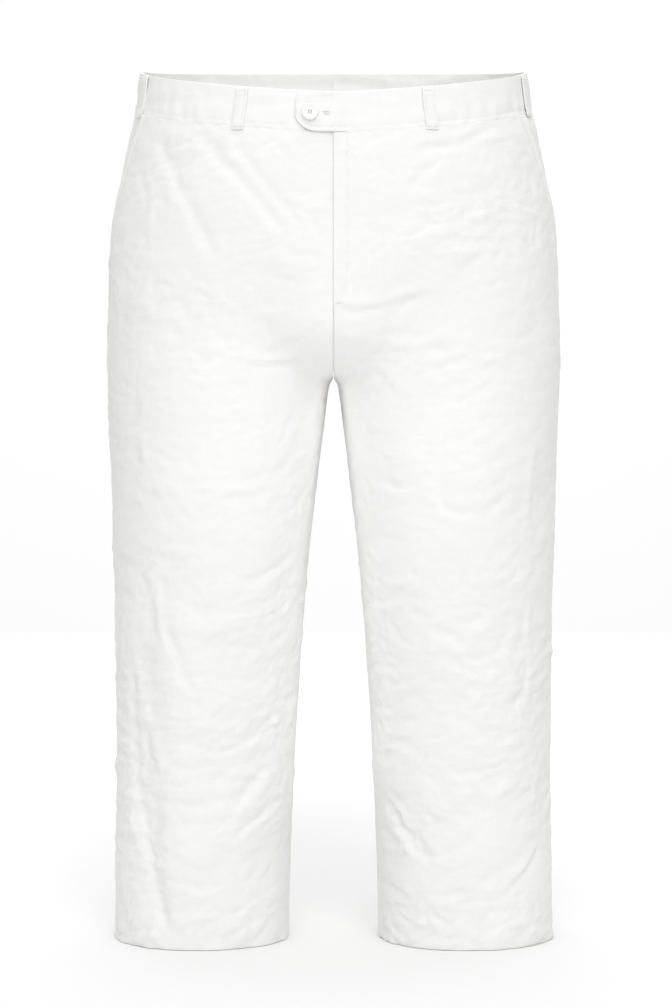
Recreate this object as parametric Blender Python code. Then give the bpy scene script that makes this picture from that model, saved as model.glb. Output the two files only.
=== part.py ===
"""Capri trousers with a slant pocket on each hip, a lapped fly and a buttoned waistband tab.

Metres, +Z up. The front faces -Y, and +X is the wearer's left. The origin is the middle of the
waistband's ring, where the wearer's waist holds the trousers up. The cloth stands filled out, as
worn, and every piece of it is a thin wall of its own.
"""

import math
from collections import namedtuple

import bmesh
import bpy
from mathutils import Vector

# Driving sizes
GAP = 0.0003                # between two pieces that are sewn or laid together
LAYER_GAP = 0.0009          # between a layer and the differently faceted wall outside it
CLOTH = 0.0015              # wall of one panel
HEM_CLOTH = 0.0026          # wall where the hem is turned up
HEM_TURN = 0.040            # height of the turned-up hem
BAND_CLOTH = 0.0025         # wall of the waistband, two layers and their stiffener
BAND_HEIGHT = 0.0385
RIM_SIDE = 0.0195           # height of the waistband's upper edge at the side seams
RIM_FRONT_DIP = 0.030
RIM_BACK_RISE = 0.008
RIM_FRONT_POWER = 1.2
RIM_BACK_POWER = 1.5
DIP_END = -0.165            # from here down the rows of the cloth are level
FORK_FRONT = -0.225         # here the front centre seam starts to curve in under the body
FORK_BACK = -0.150
CROTCH = -0.284             # the four panels meet here
THIGH_START = -0.110        # away from the fork the body turns into a leg from here down to
THIGH_END = -0.430
FORK_REACH = 0.32           # and the fork's own sharper turn reaches this far round the body
HEM = -0.842
BODY_ROUND = 0.87           # below 1 squares the body's section, 1 is an ellipse
LEG_ROUND = 0.94

# Facets
PANEL_COLUMNS = 12
SEAT_ROWS = 8
FORK_ROWS = 5
LEG_ROWS = 17
LEG_ROW_POWER = 1.25        # above 1 crowds the rows under the crotch
BAND_COLUMNS = 13
SLOPE_STEP = 0.004          # step along the cloth when its outward direction is worked out

# Slant pockets, as places round the body: 0 is the centre front, 1 the side seam, 2 the back
POCKET_TOP_TURN = 0.755
POCKET_FOOT = -0.185
POCKET_UNDER = 0.05         # how far the facing runs on under the front
POCKET_FLAT = 0.06          # over this much turn the facing comes up to the front's level
POCKET_TAIL = 0.012
POCKET_ROWS = 8
POCKET_COLUMNS = 4

# Tab, fly and button
TAB_REACH = 0.035           # past the centre front, over the right half of the waistband
TAB_RISE_START = 0.016      # the band climbs from here to the centre, to lie on the other half
TAB_HEIGHT = 0.0375
TAB_LOWER_RADIUS = 0.018
TAB_UPPER_RADIUS = 0.011
TAB_COLUMNS = 12
ZIP_WIDTH = 0.026
ZIP_FOOT = -0.205
ZIP_CLOTH = 0.0012
ZIP_ROWS = 8
ZIP_COLUMNS = 4
BUTTON_RADIUS = 0.0078
BUTTON_EDGE = 0.0030        # thickness at the rim
BUTTON_WELL_RADIUS = 0.0052
BUTTON_WELL = 0.0009
BUTTON_HOLE_RADIUS = 0.0009
BUTTON_HOLE_SPREAD = 0.0014
BUTTON_SIDES = 32
BUTTON_HOLE_SIDES = 10
BUTTON_X = -0.0212
BUTTON_BELOW_RIM = 0.0205

LOOP_WIDTH = 0.0115
LOOP_CLOTH = 0.0018
LOOP_ROWS = 6
LOOP_COLUMNS = 2
LOOP_TOP = 0.0008           # below the waistband's upper edge
LOOP_FOOT = 0.0030          # below the waistband's lower edge
LOOP_STAND = 0.0008         # how far its middle stands off the band

# One row for each height: half the outer width, half the space between the legs, and how far
# the front and the back stand from the side seam, whose own place is side_y.
Level = namedtuple("Level", "z outer inner front back side_y")
LEVELS = [
    Level(+0.030, 0.1890, 0.0000, 0.1270, 0.1270, 0.000),
    Level(+0.002, 0.1929, 0.0000, 0.1290, 0.1280, 0.000),
    Level(-0.020, 0.1955, 0.0000, 0.1310, 0.1300, 0.000),
    Level(-0.058, 0.2041, 0.0000, 0.1350, 0.1370, 0.001),
    Level(-0.108, 0.2142, 0.0000, 0.1380, 0.1470, 0.002),
    Level(-0.160, 0.2206, 0.0000, 0.1390, 0.1540, 0.003),
    Level(-0.205, 0.2232, 0.0000, 0.1365, 0.1550, 0.004),
    Level(-0.248, 0.2243, 0.0000, 0.1310, 0.1490, 0.005),
    Level(-0.284, 0.2241, 0.0002, 0.1255, 0.1400, 0.005),
    Level(-0.290, 0.2240, 0.0040, 0.1247, 0.1385, 0.005),
    Level(-0.328, 0.2230, 0.0092, 0.1190, 0.1290, 0.005),
    Level(-0.388, 0.2212, 0.0166, 0.1110, 0.1170, 0.004),
    Level(-0.468, 0.2188, 0.0255, 0.1020, 0.1060, 0.003),
    Level(-0.548, 0.2174, 0.0322, 0.0950, 0.0980, 0.002),
    Level(-0.668, 0.2166, 0.0393, 0.0870, 0.0900, 0.001),
    Level(-0.768, 0.2182, 0.0434, 0.0820, 0.0850, 0.000),
    Level(-0.842, 0.2196, 0.0450, 0.0800, 0.0820, 0.000),
]

# The largest folds, each a soft line on one face of one side, from its start to its end.
# Depth below zero is a trough, above zero a ridge.
Fold = namedtuple("Fold", "side lead start_x start_z end_x end_z depth half_width")
FOLDS = [
    Fold(+1, -1, 0.010, -0.212, 0.100, -0.203, -0.0030, 0.016),
    Fold(+1, -1, 0.015, -0.246, 0.105, -0.238, +0.0022, 0.018),
    Fold(-1, -1, 0.012, -0.243, 0.100, -0.272, -0.0030, 0.018),
    Fold(-1, -1, 0.090, -0.045, 0.020, -0.190, +0.0025, 0.022),
    Fold(+1, -1, 0.040, -0.380, 0.165, -0.392, -0.0030, 0.018),
    Fold(+1, -1, 0.036, -0.508, 0.130, -0.556, -0.0035, 0.020),
    Fold(-1, -1, 0.172, -0.490, 0.132, -0.585, -0.0045, 0.022),
    Fold(-1, -1, 0.196, -0.573, 0.158, -0.800, -0.0035, 0.020),
    Fold(+1, -1, 0.050, -0.690, 0.095, -0.755, -0.0030, 0.018),
    Fold(+1, +1, 0.010, -0.250, 0.120, -0.225, -0.0035, 0.020),
    Fold(-1, +1, 0.010, -0.255, 0.110, -0.235, -0.0035, 0.020),
    Fold(+1, +1, 0.040, -0.470, 0.170, -0.500, -0.0040, 0.022),
    Fold(-1, +1, 0.050, -0.455, 0.165, -0.490, -0.0035, 0.022),
    Fold(+1, +1, 0.060, -0.540, 0.150, -0.520, +0.0025, 0.022),
    Fold(-1, +1, 0.060, -0.540, 0.170, -0.565, -0.0030, 0.020),
]

# Belt loops: side, where round the body its top and its foot lie
Loop = namedtuple("Loop", "name side top_turn foot_turn")
LOOPS = [
    Loop("belt_loop_front_left", +1, 0.270, 0.273),
    Loop("belt_loop_front_right", -1, 0.258, 0.264),
    Loop("belt_loop_side_left", +1, 0.805, 0.815),
    Loop("belt_loop_side_right", -1, 0.775, 0.785),
    Loop("belt_loop_back_left", +1, 1.440, 1.436),
    Loop("belt_loop_back_right", -1, 1.440, 1.436),
]

Finish = namedtuple("Finish", "name colour roughness")
CLOTH_FINISH = Finish("white_cloth", (0.90, 0.89, 0.86, 1.0), 0.85)
BAND_FINISH = Finish("waistband_cloth", (0.88, 0.87, 0.84, 1.0), 0.85)
FACING_FINISH = Finish("pocket_cloth", (0.87, 0.86, 0.83, 1.0), 0.87)
ZIP_FINISH = Finish("zip_tape", (0.86, 0.85, 0.81, 1.0), 0.80)
BUTTON_FINISH = Finish("button_plastic", (0.88, 0.85, 0.78, 1.0), 0.35)


def clear_scene():
    for thing in list(bpy.data.objects):
        bpy.data.objects.remove(thing, do_unlink=True)


def clamp(value, low, high):
    return max(low, min(high, value))


def ease(value):
    """0 to 1 with a flat start and end."""
    value = clamp(value, 0.0, 1.0)
    return value * value * (3.0 - 2.0 * value)


def read_level(z):
    """The sizes at one height, on a smooth curve through the rows of LEVELS."""
    z = clamp(z, LEVELS[-1].z, LEVELS[0].z)
    upper = 0
    while upper < len(LEVELS) - 2 and z < LEVELS[upper + 1].z:
        upper += 1
    a = LEVELS[upper]
    b = LEVELS[upper + 1]
    before = LEVELS[max(upper - 1, 0)]
    after = LEVELS[min(upper + 2, len(LEVELS) - 1)]
    span = b.z - a.z
    s = (z - a.z) / span
    values = [z]
    for name in Level._fields[1:]:
        start = getattr(a, name)
        end = getattr(b, name)
        start_slope = (end - getattr(before, name)) / (b.z - before.z) * span
        end_slope = (getattr(after, name) - start) / (after.z - a.z) * span
        flat = end - start
        if flat * start_slope <= 0.0 or flat * end_slope <= 0.0:
            start_slope = flat
            end_slope = flat
        values.append(
            start * (2 * s**3 - 3 * s**2 + 1)
            + start_slope * (s**3 - 2 * s**2 + s)
            + end * (3 * s**2 - 2 * s**3)
            + end_slope * (s**3 - s**2)
        )
    return Level(*values)


def leg_share(z, fork, from_centre):
    """0 where the section is the body's, 1 where it is a leg's. At the centre seam it turns a
    quarter round, as the crotch seam does, and farther round the body it changes slowly."""
    fall = clamp((fork - z) / (fork - CROTCH), 0.0, 1.0)
    at_fork = 1.0 - math.sqrt(max(0.0, 1.0 - fall * fall))
    at_thigh = ease((THIGH_START - z) / (THIGH_START - THIGH_END))
    away = ease(from_centre / FORK_REACH)
    return at_fork + (at_thigh - at_fork) * away


def rounded(value, power):
    return math.copysign(abs(value) ** power, value)


def smooth_point(turn, z):
    """A point of the unfolded cloth on the +X side. turn is 0 at the inner front edge (the centre
    seam, or the inseam on a leg), 1 at the side seam and 2 at the inner back edge."""
    level = read_level(z)
    in_front = turn <= 1.0
    lead = -1.0 if in_front else 1.0
    depth = level.front if in_front else level.back
    from_centre = turn if in_front else 2.0 - turn
    share = leg_share(z, FORK_FRONT if in_front else FORK_BACK, from_centre)
    quarter = from_centre * math.pi / 2
    body_x = level.outer * rounded(math.sin(quarter), BODY_ROUND)
    body_y = depth * rounded(max(math.cos(quarter), 0.0), BODY_ROUND)
    centre = (level.outer + level.inner) / 2
    radius = (level.outer - level.inner) / 2
    leg_x = centre - radius * rounded(math.cos(2 * quarter), LEG_ROUND)
    leg_y = depth * rounded(max(math.sin(2 * quarter), 0.0), LEG_ROUND)
    x = (1 - share) * body_x + share * leg_x
    y = level.side_y + lead * ((1 - share) * body_y + share * leg_y)
    return Vector((x, y, z))


def outward(turn, z):
    """The unfolded cloth's outward direction. It is the same on both sides of a seam."""
    before = max(turn - SLOPE_STEP, 0.0)
    after = min(turn + SLOPE_STEP, 2.0)
    along = smooth_point(after, z) - smooth_point(before, z)
    if z < CROTCH and (turn <= 0.0 or turn >= 2.0):
        along = smooth_point(SLOPE_STEP, z) - smooth_point(2.0 - SLOPE_STEP, z)
    up = smooth_point(turn, z + SLOPE_STEP) - smooth_point(turn, z - SLOPE_STEP)
    return along.cross(up).normalized()


def fold_height(point, side, lead):
    """How far the folds lift the cloth at a point, whose X is counted from the centre."""
    height = 0.0
    for fold in FOLDS:
        if fold.side != side or fold.lead != lead:
            continue
        start = Vector((fold.start_x, fold.start_z))
        run = Vector((fold.end_x, fold.end_z)) - start
        place = Vector((point.x, point.z)) - start
        along = place.dot(run) / run.length_squared
        across = (place - run * clamp(along, 0.0, 1.0)).length / fold.half_width
        fade = math.sin(math.pi * clamp(along, 0.0, 1.0)) if 0.0 < along < 1.0 else 0.0
        height += fold.depth * fade * math.exp(-across * across)
    return height


def cloth_point(turn, z, side, lift=0.0):
    """A point on the garment, lift metres outside its outer face, kept to its own side of
    the seams."""
    point = smooth_point(turn, z)
    lead = -1 if turn <= 1.0 else 1
    point = point + outward(turn, z) * (lift + fold_height(point, side, lead))
    return Vector((side * point.x, point.y, point.z))


def keep_to_panel(point, side, lead):
    """Moves a point to its own side of the centre plane and of the side seam's plane."""
    seam_y = read_level(point.z).side_y
    x = side * max(side * point.x, GAP / 2)
    y = seam_y + lead * max(lead * (point.y - seam_y), GAP / 2)
    return Vector((x, y, point.z))


def rim_height(turn):
    """Height of the waistband's upper edge round the body."""
    if turn <= 1.0:
        return RIM_SIDE - RIM_FRONT_DIP * (1 - turn**RIM_FRONT_POWER)
    return RIM_SIDE + RIM_BACK_RISE * (1 - (2 - turn) ** RIM_BACK_POWER)


def row_height(level_z, turn):
    """A row's height at one place round the body: the top rows follow the waist seam."""
    seam_side = RIM_SIDE - BAND_HEIGHT
    fade = clamp((level_z - DIP_END) / (seam_side - DIP_END), 0.0, 1.0)
    return level_z + (rim_height(turn) - RIM_SIDE) * fade


def panel_rows():
    """Heights of a panel's rows at the side seam, from the hem up."""
    seam_side = RIM_SIDE - BAND_HEIGHT - GAP / 2
    rows = []
    for step in range(SEAT_ROWS):
        rows.append(seam_side + (FORK_FRONT - seam_side) * step / SEAT_ROWS)
    for step in range(FORK_ROWS + 1):
        angle = math.pi / 2 * step / FORK_ROWS
        rows.append(FORK_FRONT + (CROTCH - FORK_FRONT) * math.sin(angle))
    hem_line = HEM + HEM_TURN
    for step in range(1, LEG_ROWS + 1):
        rows.append(CROTCH + (hem_line - CROTCH) * (step / LEG_ROWS) ** LEG_ROW_POWER)
    rows.append(hem_line - HEM_CLOTH)
    rows.append(HEM + HEM_TURN / 2)
    rows.append(HEM)
    rows.reverse()
    return rows


def wall(name, columns, rows, outer_place, inner_place, finish):
    """A closed wall between two faces, each given by a function of the column and the row."""
    shape = bmesh.new()
    bmesh.ops.create_grid(shape, x_segments=columns, y_segments=rows, size=1.0)
    grown = bmesh.ops.extrude_face_region(shape, geom=shape.faces[:])
    inner = {item for item in grown["geom"] if isinstance(item, bmesh.types.BMVert)}
    for vert in shape.verts:
        column = (vert.co.x + 1) / 2
        row = round((vert.co.y + 1) / 2 * rows)
        place = inner_place if vert in inner else outer_place
        vert.co = place(column, row)
    bmesh.ops.triangulate(shape, faces=shape.faces[:])
    bmesh.ops.recalc_face_normals(shape, faces=shape.faces[:])
    return add_object(name, shape, finish)


def add_object(name, shape, finish):
    mesh = bpy.data.meshes.new(name)
    shape.to_mesh(mesh)
    shape.free()
    mesh.materials.append(material(finish))
    mesh.shade_smooth()
    mesh.set_sharp_from_angle(angle=math.radians(40))
    thing = bpy.data.objects.new(name, mesh)
    bpy.context.scene.collection.objects.link(thing)
    return thing


def material(finish):
    found = bpy.data.materials.get(finish.name)
    if found:
        return found
    made = bpy.data.materials.new(finish.name)
    made.use_nodes = True
    shader = made.node_tree.nodes["Principled BSDF"]
    shader.inputs["Base Color"].default_value = finish.colour
    shader.inputs["Roughness"].default_value = finish.roughness
    shader.inputs["Metallic"].default_value = 0.0
    return made


def pocket_turn(z):
    """Where the pocket mouth's slanting edge lies at a height: 1 below the pocket."""
    top = row_height(RIM_SIDE - BAND_HEIGHT, POCKET_TOP_TURN)
    fall = clamp((top - z) / (top - POCKET_FOOT), 0.0, 1.0)
    return POCKET_TOP_TURN + (1.0 - POCKET_TOP_TURN) * fall


def panel(name, side, lead):
    """A front (lead -1) or back (lead +1) of one leg, from the waist seam to the hem."""
    rows = panel_rows()

    def face(lift_of_row):
        def place(column, row):
            if lead < 0:
                turn = column * pocket_turn(row_height(rows[row], POCKET_TOP_TURN))
            else:
                turn = 1.0 + column
            z = row_height(rows[row], turn)
            return keep_to_panel(cloth_point(turn, z, side, lift_of_row(row)), side, lead)
        return place

    def inner_lift(row):
        return -HEM_CLOTH if rows[row] < HEM + HEM_TURN - HEM_CLOTH / 2 else -CLOTH

    wall(
        name, PANEL_COLUMNS, len(rows) - 1,
        face(lambda row: 0.0), face(inner_lift), CLOTH_FINISH,
    )


def pocket_facing(name, side):
    """The piece of the hip that the slanting pocket mouth leaves bare."""
    top = RIM_SIDE - BAND_HEIGHT - GAP / 2
    foot = POCKET_FOOT - POCKET_TAIL

    def face(lift):
        def place(column, row):
            level_z = foot + (top - foot) * row / POCKET_ROWS
            edge = pocket_turn(row_height(level_z, POCKET_TOP_TURN))
            turn = (edge - POCKET_UNDER) + (1.0 - edge + POCKET_UNDER) * column
            under = 1.0 - ease((turn - edge) / POCKET_FLAT)
            sunk = (CLOTH + LAYER_GAP) * under
            z = row_height(level_z, turn)
            return keep_to_panel(cloth_point(turn, z, side, lift - sunk), side, -1)
        return place

    wall(name, POCKET_COLUMNS, POCKET_ROWS, face(0.0), face(-CLOTH), FACING_FINISH)


def front_turn(x, z):
    """The place round the front whose distance from the centre is x."""
    return math.asin((x / read_level(z).outer) ** (1 / BODY_ROUND)) / (math.pi / 2)


def band_point(turn, z, side, lift):
    """A point of the waistband, which is smooth: it has no folds."""
    point = smooth_point(turn, z)
    point = point + outward(turn, z) * lift
    return Vector((side * point.x, point.y, z))


def waistband_right():
    """The half under the tab, from the centre front round to the centre back."""
    def face(lift):
        def place(column, row):
            turn = 2.0 * column
            z = rim_height(turn) - BAND_HEIGHT * (1 - row)
            point = band_point(turn, z, -1, lift)
            point.x = min(point.x, -GAP / 2)
            return point
        return place

    wall("waistband_right", 2 * BAND_COLUMNS, 1, face(0.0), face(-BAND_CLOTH), BAND_FINISH)


def tab_edges(reach):
    """Upper and lower edge of the tab below its rim, at a distance past the centre front."""
    def corner(radius):
        past = reach - (TAB_REACH - radius)
        if past <= 0.0:
            return 0.0
        return radius - math.sqrt(max(radius * radius - past * past, 0.0))

    return corner(TAB_UPPER_RADIUS), TAB_HEIGHT - corner(TAB_LOWER_RADIUS)


def waistband_left():
    """The half with the tab. Past the centre front it lies on the other half."""
    total = 2 * BAND_COLUMNS + TAB_COLUMNS
    tab_lift = BAND_CLOTH + 2 * GAP

    def face(inner):
        def place(column, row):
            index = round(column * total)
            if index < TAB_COLUMNS:
                bend = math.sin(math.pi / 2 * (TAB_COLUMNS - index) / TAB_COLUMNS)
                reach = TAB_REACH * bend
                above, below = tab_edges(reach)
                turn = front_turn(reach, RIM_SIDE)
                z = rim_height(turn) - (above if row == 1 else below)
                lift = tab_lift - (BAND_CLOTH if inner else 0.0)
                return band_point(turn, z, -1, lift)
            turn = 2.0 * (index - TAB_COLUMNS) / (2 * BAND_COLUMNS)
            z = rim_height(turn) - BAND_HEIGHT * (1 - row)
            if index == TAB_COLUMNS:
                z = rim_height(turn) - TAB_HEIGHT * (1 - row)
            rise = 1.0 - ease(smooth_point(turn, z).x / TAB_RISE_START) if turn < 1.0 else 0.0
            lift = tab_lift * rise - (BAND_CLOTH if inner else 0.0)
            point = band_point(turn, z, 1, lift)
            if index == total:
                point.x = GAP / 2
            return point
        return place

    wall("waistband_left", total, 1, face(False), face(True), BAND_FINISH)


def belt_loop(loop):
    """A flat strap over the waistband, sewn down at its two ends."""
    def face(lift):
        def place(column, row):
            along = row / LOOP_ROWS
            turn = loop.foot_turn + (loop.top_turn - loop.foot_turn) * along
            top = rim_height(turn) - LOOP_TOP
            foot = rim_height(turn) - BAND_HEIGHT - LOOP_FOOT
            z = foot + (top - foot) * along
            centre = smooth_point(turn, z)
            step = smooth_point(turn + SLOPE_STEP, z) - centre
            turn += (column - 0.5) * LOOP_WIDTH * SLOPE_STEP / step.length
            stand = 2 * GAP + LOOP_STAND * math.sin(math.pi * along)
            return band_point(turn, z, loop.side, stand + lift)
        return place

    wall(loop.name, LOOP_COLUMNS, LOOP_ROWS, face(LOOP_CLOTH), face(0.0), BAND_FINISH)


def centre_back_loop():
    """The loop on the centre back seam, bent across both halves of the waistband."""
    def face(lift):
        def place(column, row):
            along = row / LOOP_ROWS
            x = (column - 0.5) * LOOP_WIDTH
            top = rim_height(2.0) - LOOP_TOP
            foot = rim_height(2.0) - BAND_HEIGHT - LOOP_FOOT
            z = foot + (top - foot) * along
            back = smooth_point(2.0, z)
            stand = 2 * GAP + LOOP_STAND * math.sin(math.pi * along)
            return Vector((x, back.y + stand + lift, z))
        return place

    wall(
        "belt_loop_back_centre", LOOP_COLUMNS, LOOP_ROWS,
        face(LOOP_CLOTH), face(0.0), BAND_FINISH,
    )


def fly_zip():
    """The closed zip's plain tape, behind the lapped edge of the fly."""
    top = rim_height(0.0) - BAND_HEIGHT - GAP

    def face(lift):
        def place(column, row):
            x = (column - 0.5) * ZIP_WIDTH
            z = ZIP_FOOT + (top - ZIP_FOOT) * row / ZIP_ROWS
            side = 1 if x >= 0.0 else -1
            sunk = -CLOTH - LAYER_GAP - lift
            centre = cloth_point(0.0, z, side, sunk)
            beside = cloth_point(pocket_turn(z) / PANEL_COLUMNS, z, side, sunk)
            y = centre.y + (beside.y - centre.y) * x / beside.x
            return Vector((x, y, z))
        return place

    wall("fly_zip", ZIP_COLUMNS, ZIP_ROWS, face(0.0), face(ZIP_CLOTH), ZIP_FINISH)


def disc(radius, sides, low, high):
    """A closed round bar along Z, from one height to another."""
    shape = bmesh.new()
    bmesh.ops.create_circle(shape, cap_ends=True, radius=radius, segments=sides)
    for vert in shape.verts:
        vert.co.z = low
    grown = bmesh.ops.extrude_face_region(shape, geom=shape.faces[:])
    for item in grown["geom"]:
        if isinstance(item, bmesh.types.BMVert):
            item.co.z = high
    bmesh.ops.recalc_face_normals(shape, faces=shape.faces[:])
    return shape


def cutter(name, shape):
    mesh = bpy.data.meshes.new(name)
    shape.to_mesh(mesh)
    shape.free()
    thing = bpy.data.objects.new(name, mesh)
    thing.hide_render = True
    thing.display_type = "WIRE"
    bpy.context.scene.collection.objects.link(thing)
    return thing


def waist_button():
    """A four-hole button with a raised rim, lying on the tab."""
    turn = front_turn(abs(BUTTON_X), RIM_SIDE)
    z = rim_height(turn) - BUTTON_BELOW_RIM
    seat = band_point(turn, z, -1, BAND_CLOTH + 4 * GAP)
    out = outward(turn, z)
    out.x = -out.x
    button = add_object(
        "waist_button", disc(BUTTON_RADIUS, BUTTON_SIDES, 0.0, BUTTON_EDGE), BUTTON_FINISH
    )
    tools = [cutter("button_well", disc(
        BUTTON_WELL_RADIUS, BUTTON_SIDES, BUTTON_EDGE - BUTTON_WELL, 2 * BUTTON_EDGE
    ))]
    for corner in range(4):
        angle = math.pi / 4 + corner * math.pi / 2
        hole = disc(BUTTON_HOLE_RADIUS, BUTTON_HOLE_SIDES, -BUTTON_EDGE, 2 * BUTTON_EDGE)
        middle = Vector((math.cos(angle), math.sin(angle), 0.0)) * BUTTON_HOLE_SPREAD
        bmesh.ops.translate(hole, verts=hole.verts[:], vec=middle)
        tools.append(cutter("button_hole", hole))
    for tool in [button] + tools:
        tool.rotation_euler = out.to_track_quat("Z", "Y").to_euler()
        tool.location = seat
    for tool in tools:
        cut = button.modifiers.new(tool.name, "BOOLEAN")
        cut.operation = "DIFFERENCE"
        cut.object = tool


def main():
    clear_scene()
    panel("front_left", 1, -1)
    panel("front_right", -1, -1)
    panel("back_left", 1, 1)
    panel("back_right", -1, 1)
    pocket_facing("pocket_facing_left", 1)
    pocket_facing("pocket_facing_right", -1)
    waistband_left()
    waistband_right()
    for loop in LOOPS:
        belt_loop(loop)
    centre_back_loop()
    fly_zip()
    waist_button()


main()
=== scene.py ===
import math

import bmesh
import bpy
import numpy as np
from mathutils import Matrix, Vector


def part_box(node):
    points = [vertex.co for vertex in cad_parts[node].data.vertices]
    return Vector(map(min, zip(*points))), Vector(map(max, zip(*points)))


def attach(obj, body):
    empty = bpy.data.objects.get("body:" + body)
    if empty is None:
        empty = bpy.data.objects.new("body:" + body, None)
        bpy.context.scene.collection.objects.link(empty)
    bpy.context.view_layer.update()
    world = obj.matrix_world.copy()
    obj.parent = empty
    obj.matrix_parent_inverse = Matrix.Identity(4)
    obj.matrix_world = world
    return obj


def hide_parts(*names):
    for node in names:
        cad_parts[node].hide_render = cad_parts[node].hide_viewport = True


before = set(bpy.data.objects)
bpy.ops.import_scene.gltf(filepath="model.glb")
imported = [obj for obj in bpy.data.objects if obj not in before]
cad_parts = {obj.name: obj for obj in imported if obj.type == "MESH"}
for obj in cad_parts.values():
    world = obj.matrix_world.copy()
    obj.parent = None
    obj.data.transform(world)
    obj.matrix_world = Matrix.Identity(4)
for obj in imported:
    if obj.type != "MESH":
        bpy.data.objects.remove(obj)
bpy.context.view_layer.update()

print("frame loaded:", len(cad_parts), "nodes")

# the garment's form, in metres: the front faces -Y, +X is the wearer's left and the origin is
# the middle of the waistband
garment = {
    "bandHeight": 0.0385,
    "rimSide": 0.0195,
    "rimFrontDip": 0.030,
    "rimBackRise": 0.008,
    "rimFrontPower": 1.2,
    "rimBackPower": 1.5,
    "dipEnd": -0.165,         # from here down the cloth's rows are level
    "forkFront": -0.225,
    "forkBack": -0.150,
    "crotch": -0.284,
    "thighStart": -0.110,
    "thighEnd": -0.430,
    "forkReach": 0.32,
    "hem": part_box("front_left")[0].z,
    "bodyRound": 0.87,
    "legRound": 0.94,
    "evenTurn": 0.12,
    "evenReach": 0.016,
    "evenFall": 0.035,        # how far from the crotch, up and down, the evening out goes
    "evenWeights": ((-1.0, 0.15), (-0.5, 0.22), (0.0, 0.26), (0.5, 0.22), (1.0, 0.15)),
    "slopeStep": 0.004,
    "clothThickness": 0.0008,
    "seamGap": 0.00012,       # from a cloth's edge to its seam's plane
    "seamLap": 0.0002,        # the panels' tops reach this far in under the waistband's edge
    "seamWave": 0.0011,       # how far the waist seam strays up and down
    "waveReach": 0.17,
    "waveFade": 0.020,        # the wave dies away over this much of the panels' tops
    "pocketTopTurn": 0.755,
    "pocketFoot": -0.185,
}

# height, half the outer width, half the space between the legs, front and back depth, side seam's y
formKnots = np.array([
    (+0.030, 0.1890, 0.0000, 0.1270, 0.1270, 0.000),
    (+0.002, 0.1929, 0.0000, 0.1290, 0.1280, 0.000),
    (-0.020, 0.1955, 0.0000, 0.1310, 0.1300, 0.000),
    (-0.058, 0.2041, 0.0000, 0.1350, 0.1370, 0.001),
    (-0.108, 0.2142, 0.0000, 0.1380, 0.1470, 0.002),
    (-0.160, 0.2206, 0.0000, 0.1390, 0.1540, 0.003),
    (-0.205, 0.2232, 0.0000, 0.1365, 0.1550, 0.004),
    (-0.248, 0.2243, 0.0000, 0.1310, 0.1490, 0.005),
    (-0.284, 0.2241, 0.0002, 0.1255, 0.1400, 0.005),
    (-0.290, 0.2240, 0.0040, 0.1247, 0.1385, 0.005),
    (-0.328, 0.2230, 0.0092, 0.1190, 0.1290, 0.005),
    (-0.388, 0.2212, 0.0166, 0.1110, 0.1170, 0.004),
    (-0.468, 0.2188, 0.0255, 0.1020, 0.1060, 0.003),
    (-0.548, 0.2174, 0.0322, 0.0950, 0.0980, 0.002),
    (-0.668, 0.2166, 0.0393, 0.0870, 0.0900, 0.001),
    (-0.768, 0.2182, 0.0434, 0.0820, 0.0850, 0.000),
    (-0.842, 0.2196, 0.0450, 0.0800, 0.0820, 0.000),
])


def easeCurve(value):
    value = np.clip(value, 0.0, 1.0)
    return value * value * (3.0 - 2.0 * value)


def bellCurve(distance, width):
    return np.exp(-(distance / width) ** 2)


def unitVectors(vectors):
    return vectors / np.maximum(np.linalg.norm(vectors, axis=-1, keepdims=True), 1e-12)


def mirrored(vectors, side):
    # carried over to the wearer's left (side 1) or right (side -1)
    return vectors * np.array([side, 1.0, 1.0])


def lengthsAlong(line):
    # how far each place of a line lies from its start
    return np.concatenate([[0.0], np.cumsum(np.linalg.norm(np.diff(line, axis=0), axis=1))])


def readForm(z):
    # the sizes at each height, on a smooth curve through the knots
    z = np.clip(np.asarray(z, float), formKnots[-1, 0], formKnots[0, 0])
    last = len(formKnots) - 1
    upper = np.clip(np.searchsorted(-formKnots[:, 0], -z, side="right") - 1, 0, last - 1)
    start = formKnots[upper]
    end = formKnots[upper + 1]
    before = formKnots[np.maximum(upper - 1, 0)]
    after = formKnots[np.minimum(upper + 2, last)]
    span = end[..., :1] - start[..., :1]
    share = (z[..., None] - start[..., :1]) / span
    flat = end - start
    startSlope = (end - before) / (end[..., :1] - before[..., :1]) * span
    endSlope = (after - start) / (after[..., :1] - start[..., :1]) * span
    turning = (flat * startSlope <= 0.0) | (flat * endSlope <= 0.0)
    startSlope = np.where(turning, flat, startSlope)
    endSlope = np.where(turning, flat, endSlope)
    values = (
        start * (2 * share**3 - 3 * share**2 + 1) + startSlope * (share**3 - 2 * share**2 + share)
        + end * (3 * share**2 - 2 * share**3) + endSlope * (share**3 - share**2)
    )
    return values[..., 1], values[..., 2], values[..., 3], values[..., 4], values[..., 5]


def legShare(z, fork, fromCentre):
    # 0 where the section is the body's, 1 where it is a leg's
    fall = np.clip((fork - z) / (fork - garment["crotch"]), 0.0, 1.0)
    atFork = 1.0 - np.sqrt(np.maximum(0.0, 1.0 - fall * fall))
    atThigh = easeCurve((garment["thighStart"] - z) / (garment["thighStart"] - garment["thighEnd"]))
    return atFork + (atThigh - atFork) * easeCurve(fromCentre / garment["forkReach"])


def roundedPower(value, power):
    return np.sign(value) * np.abs(value) ** power


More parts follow.
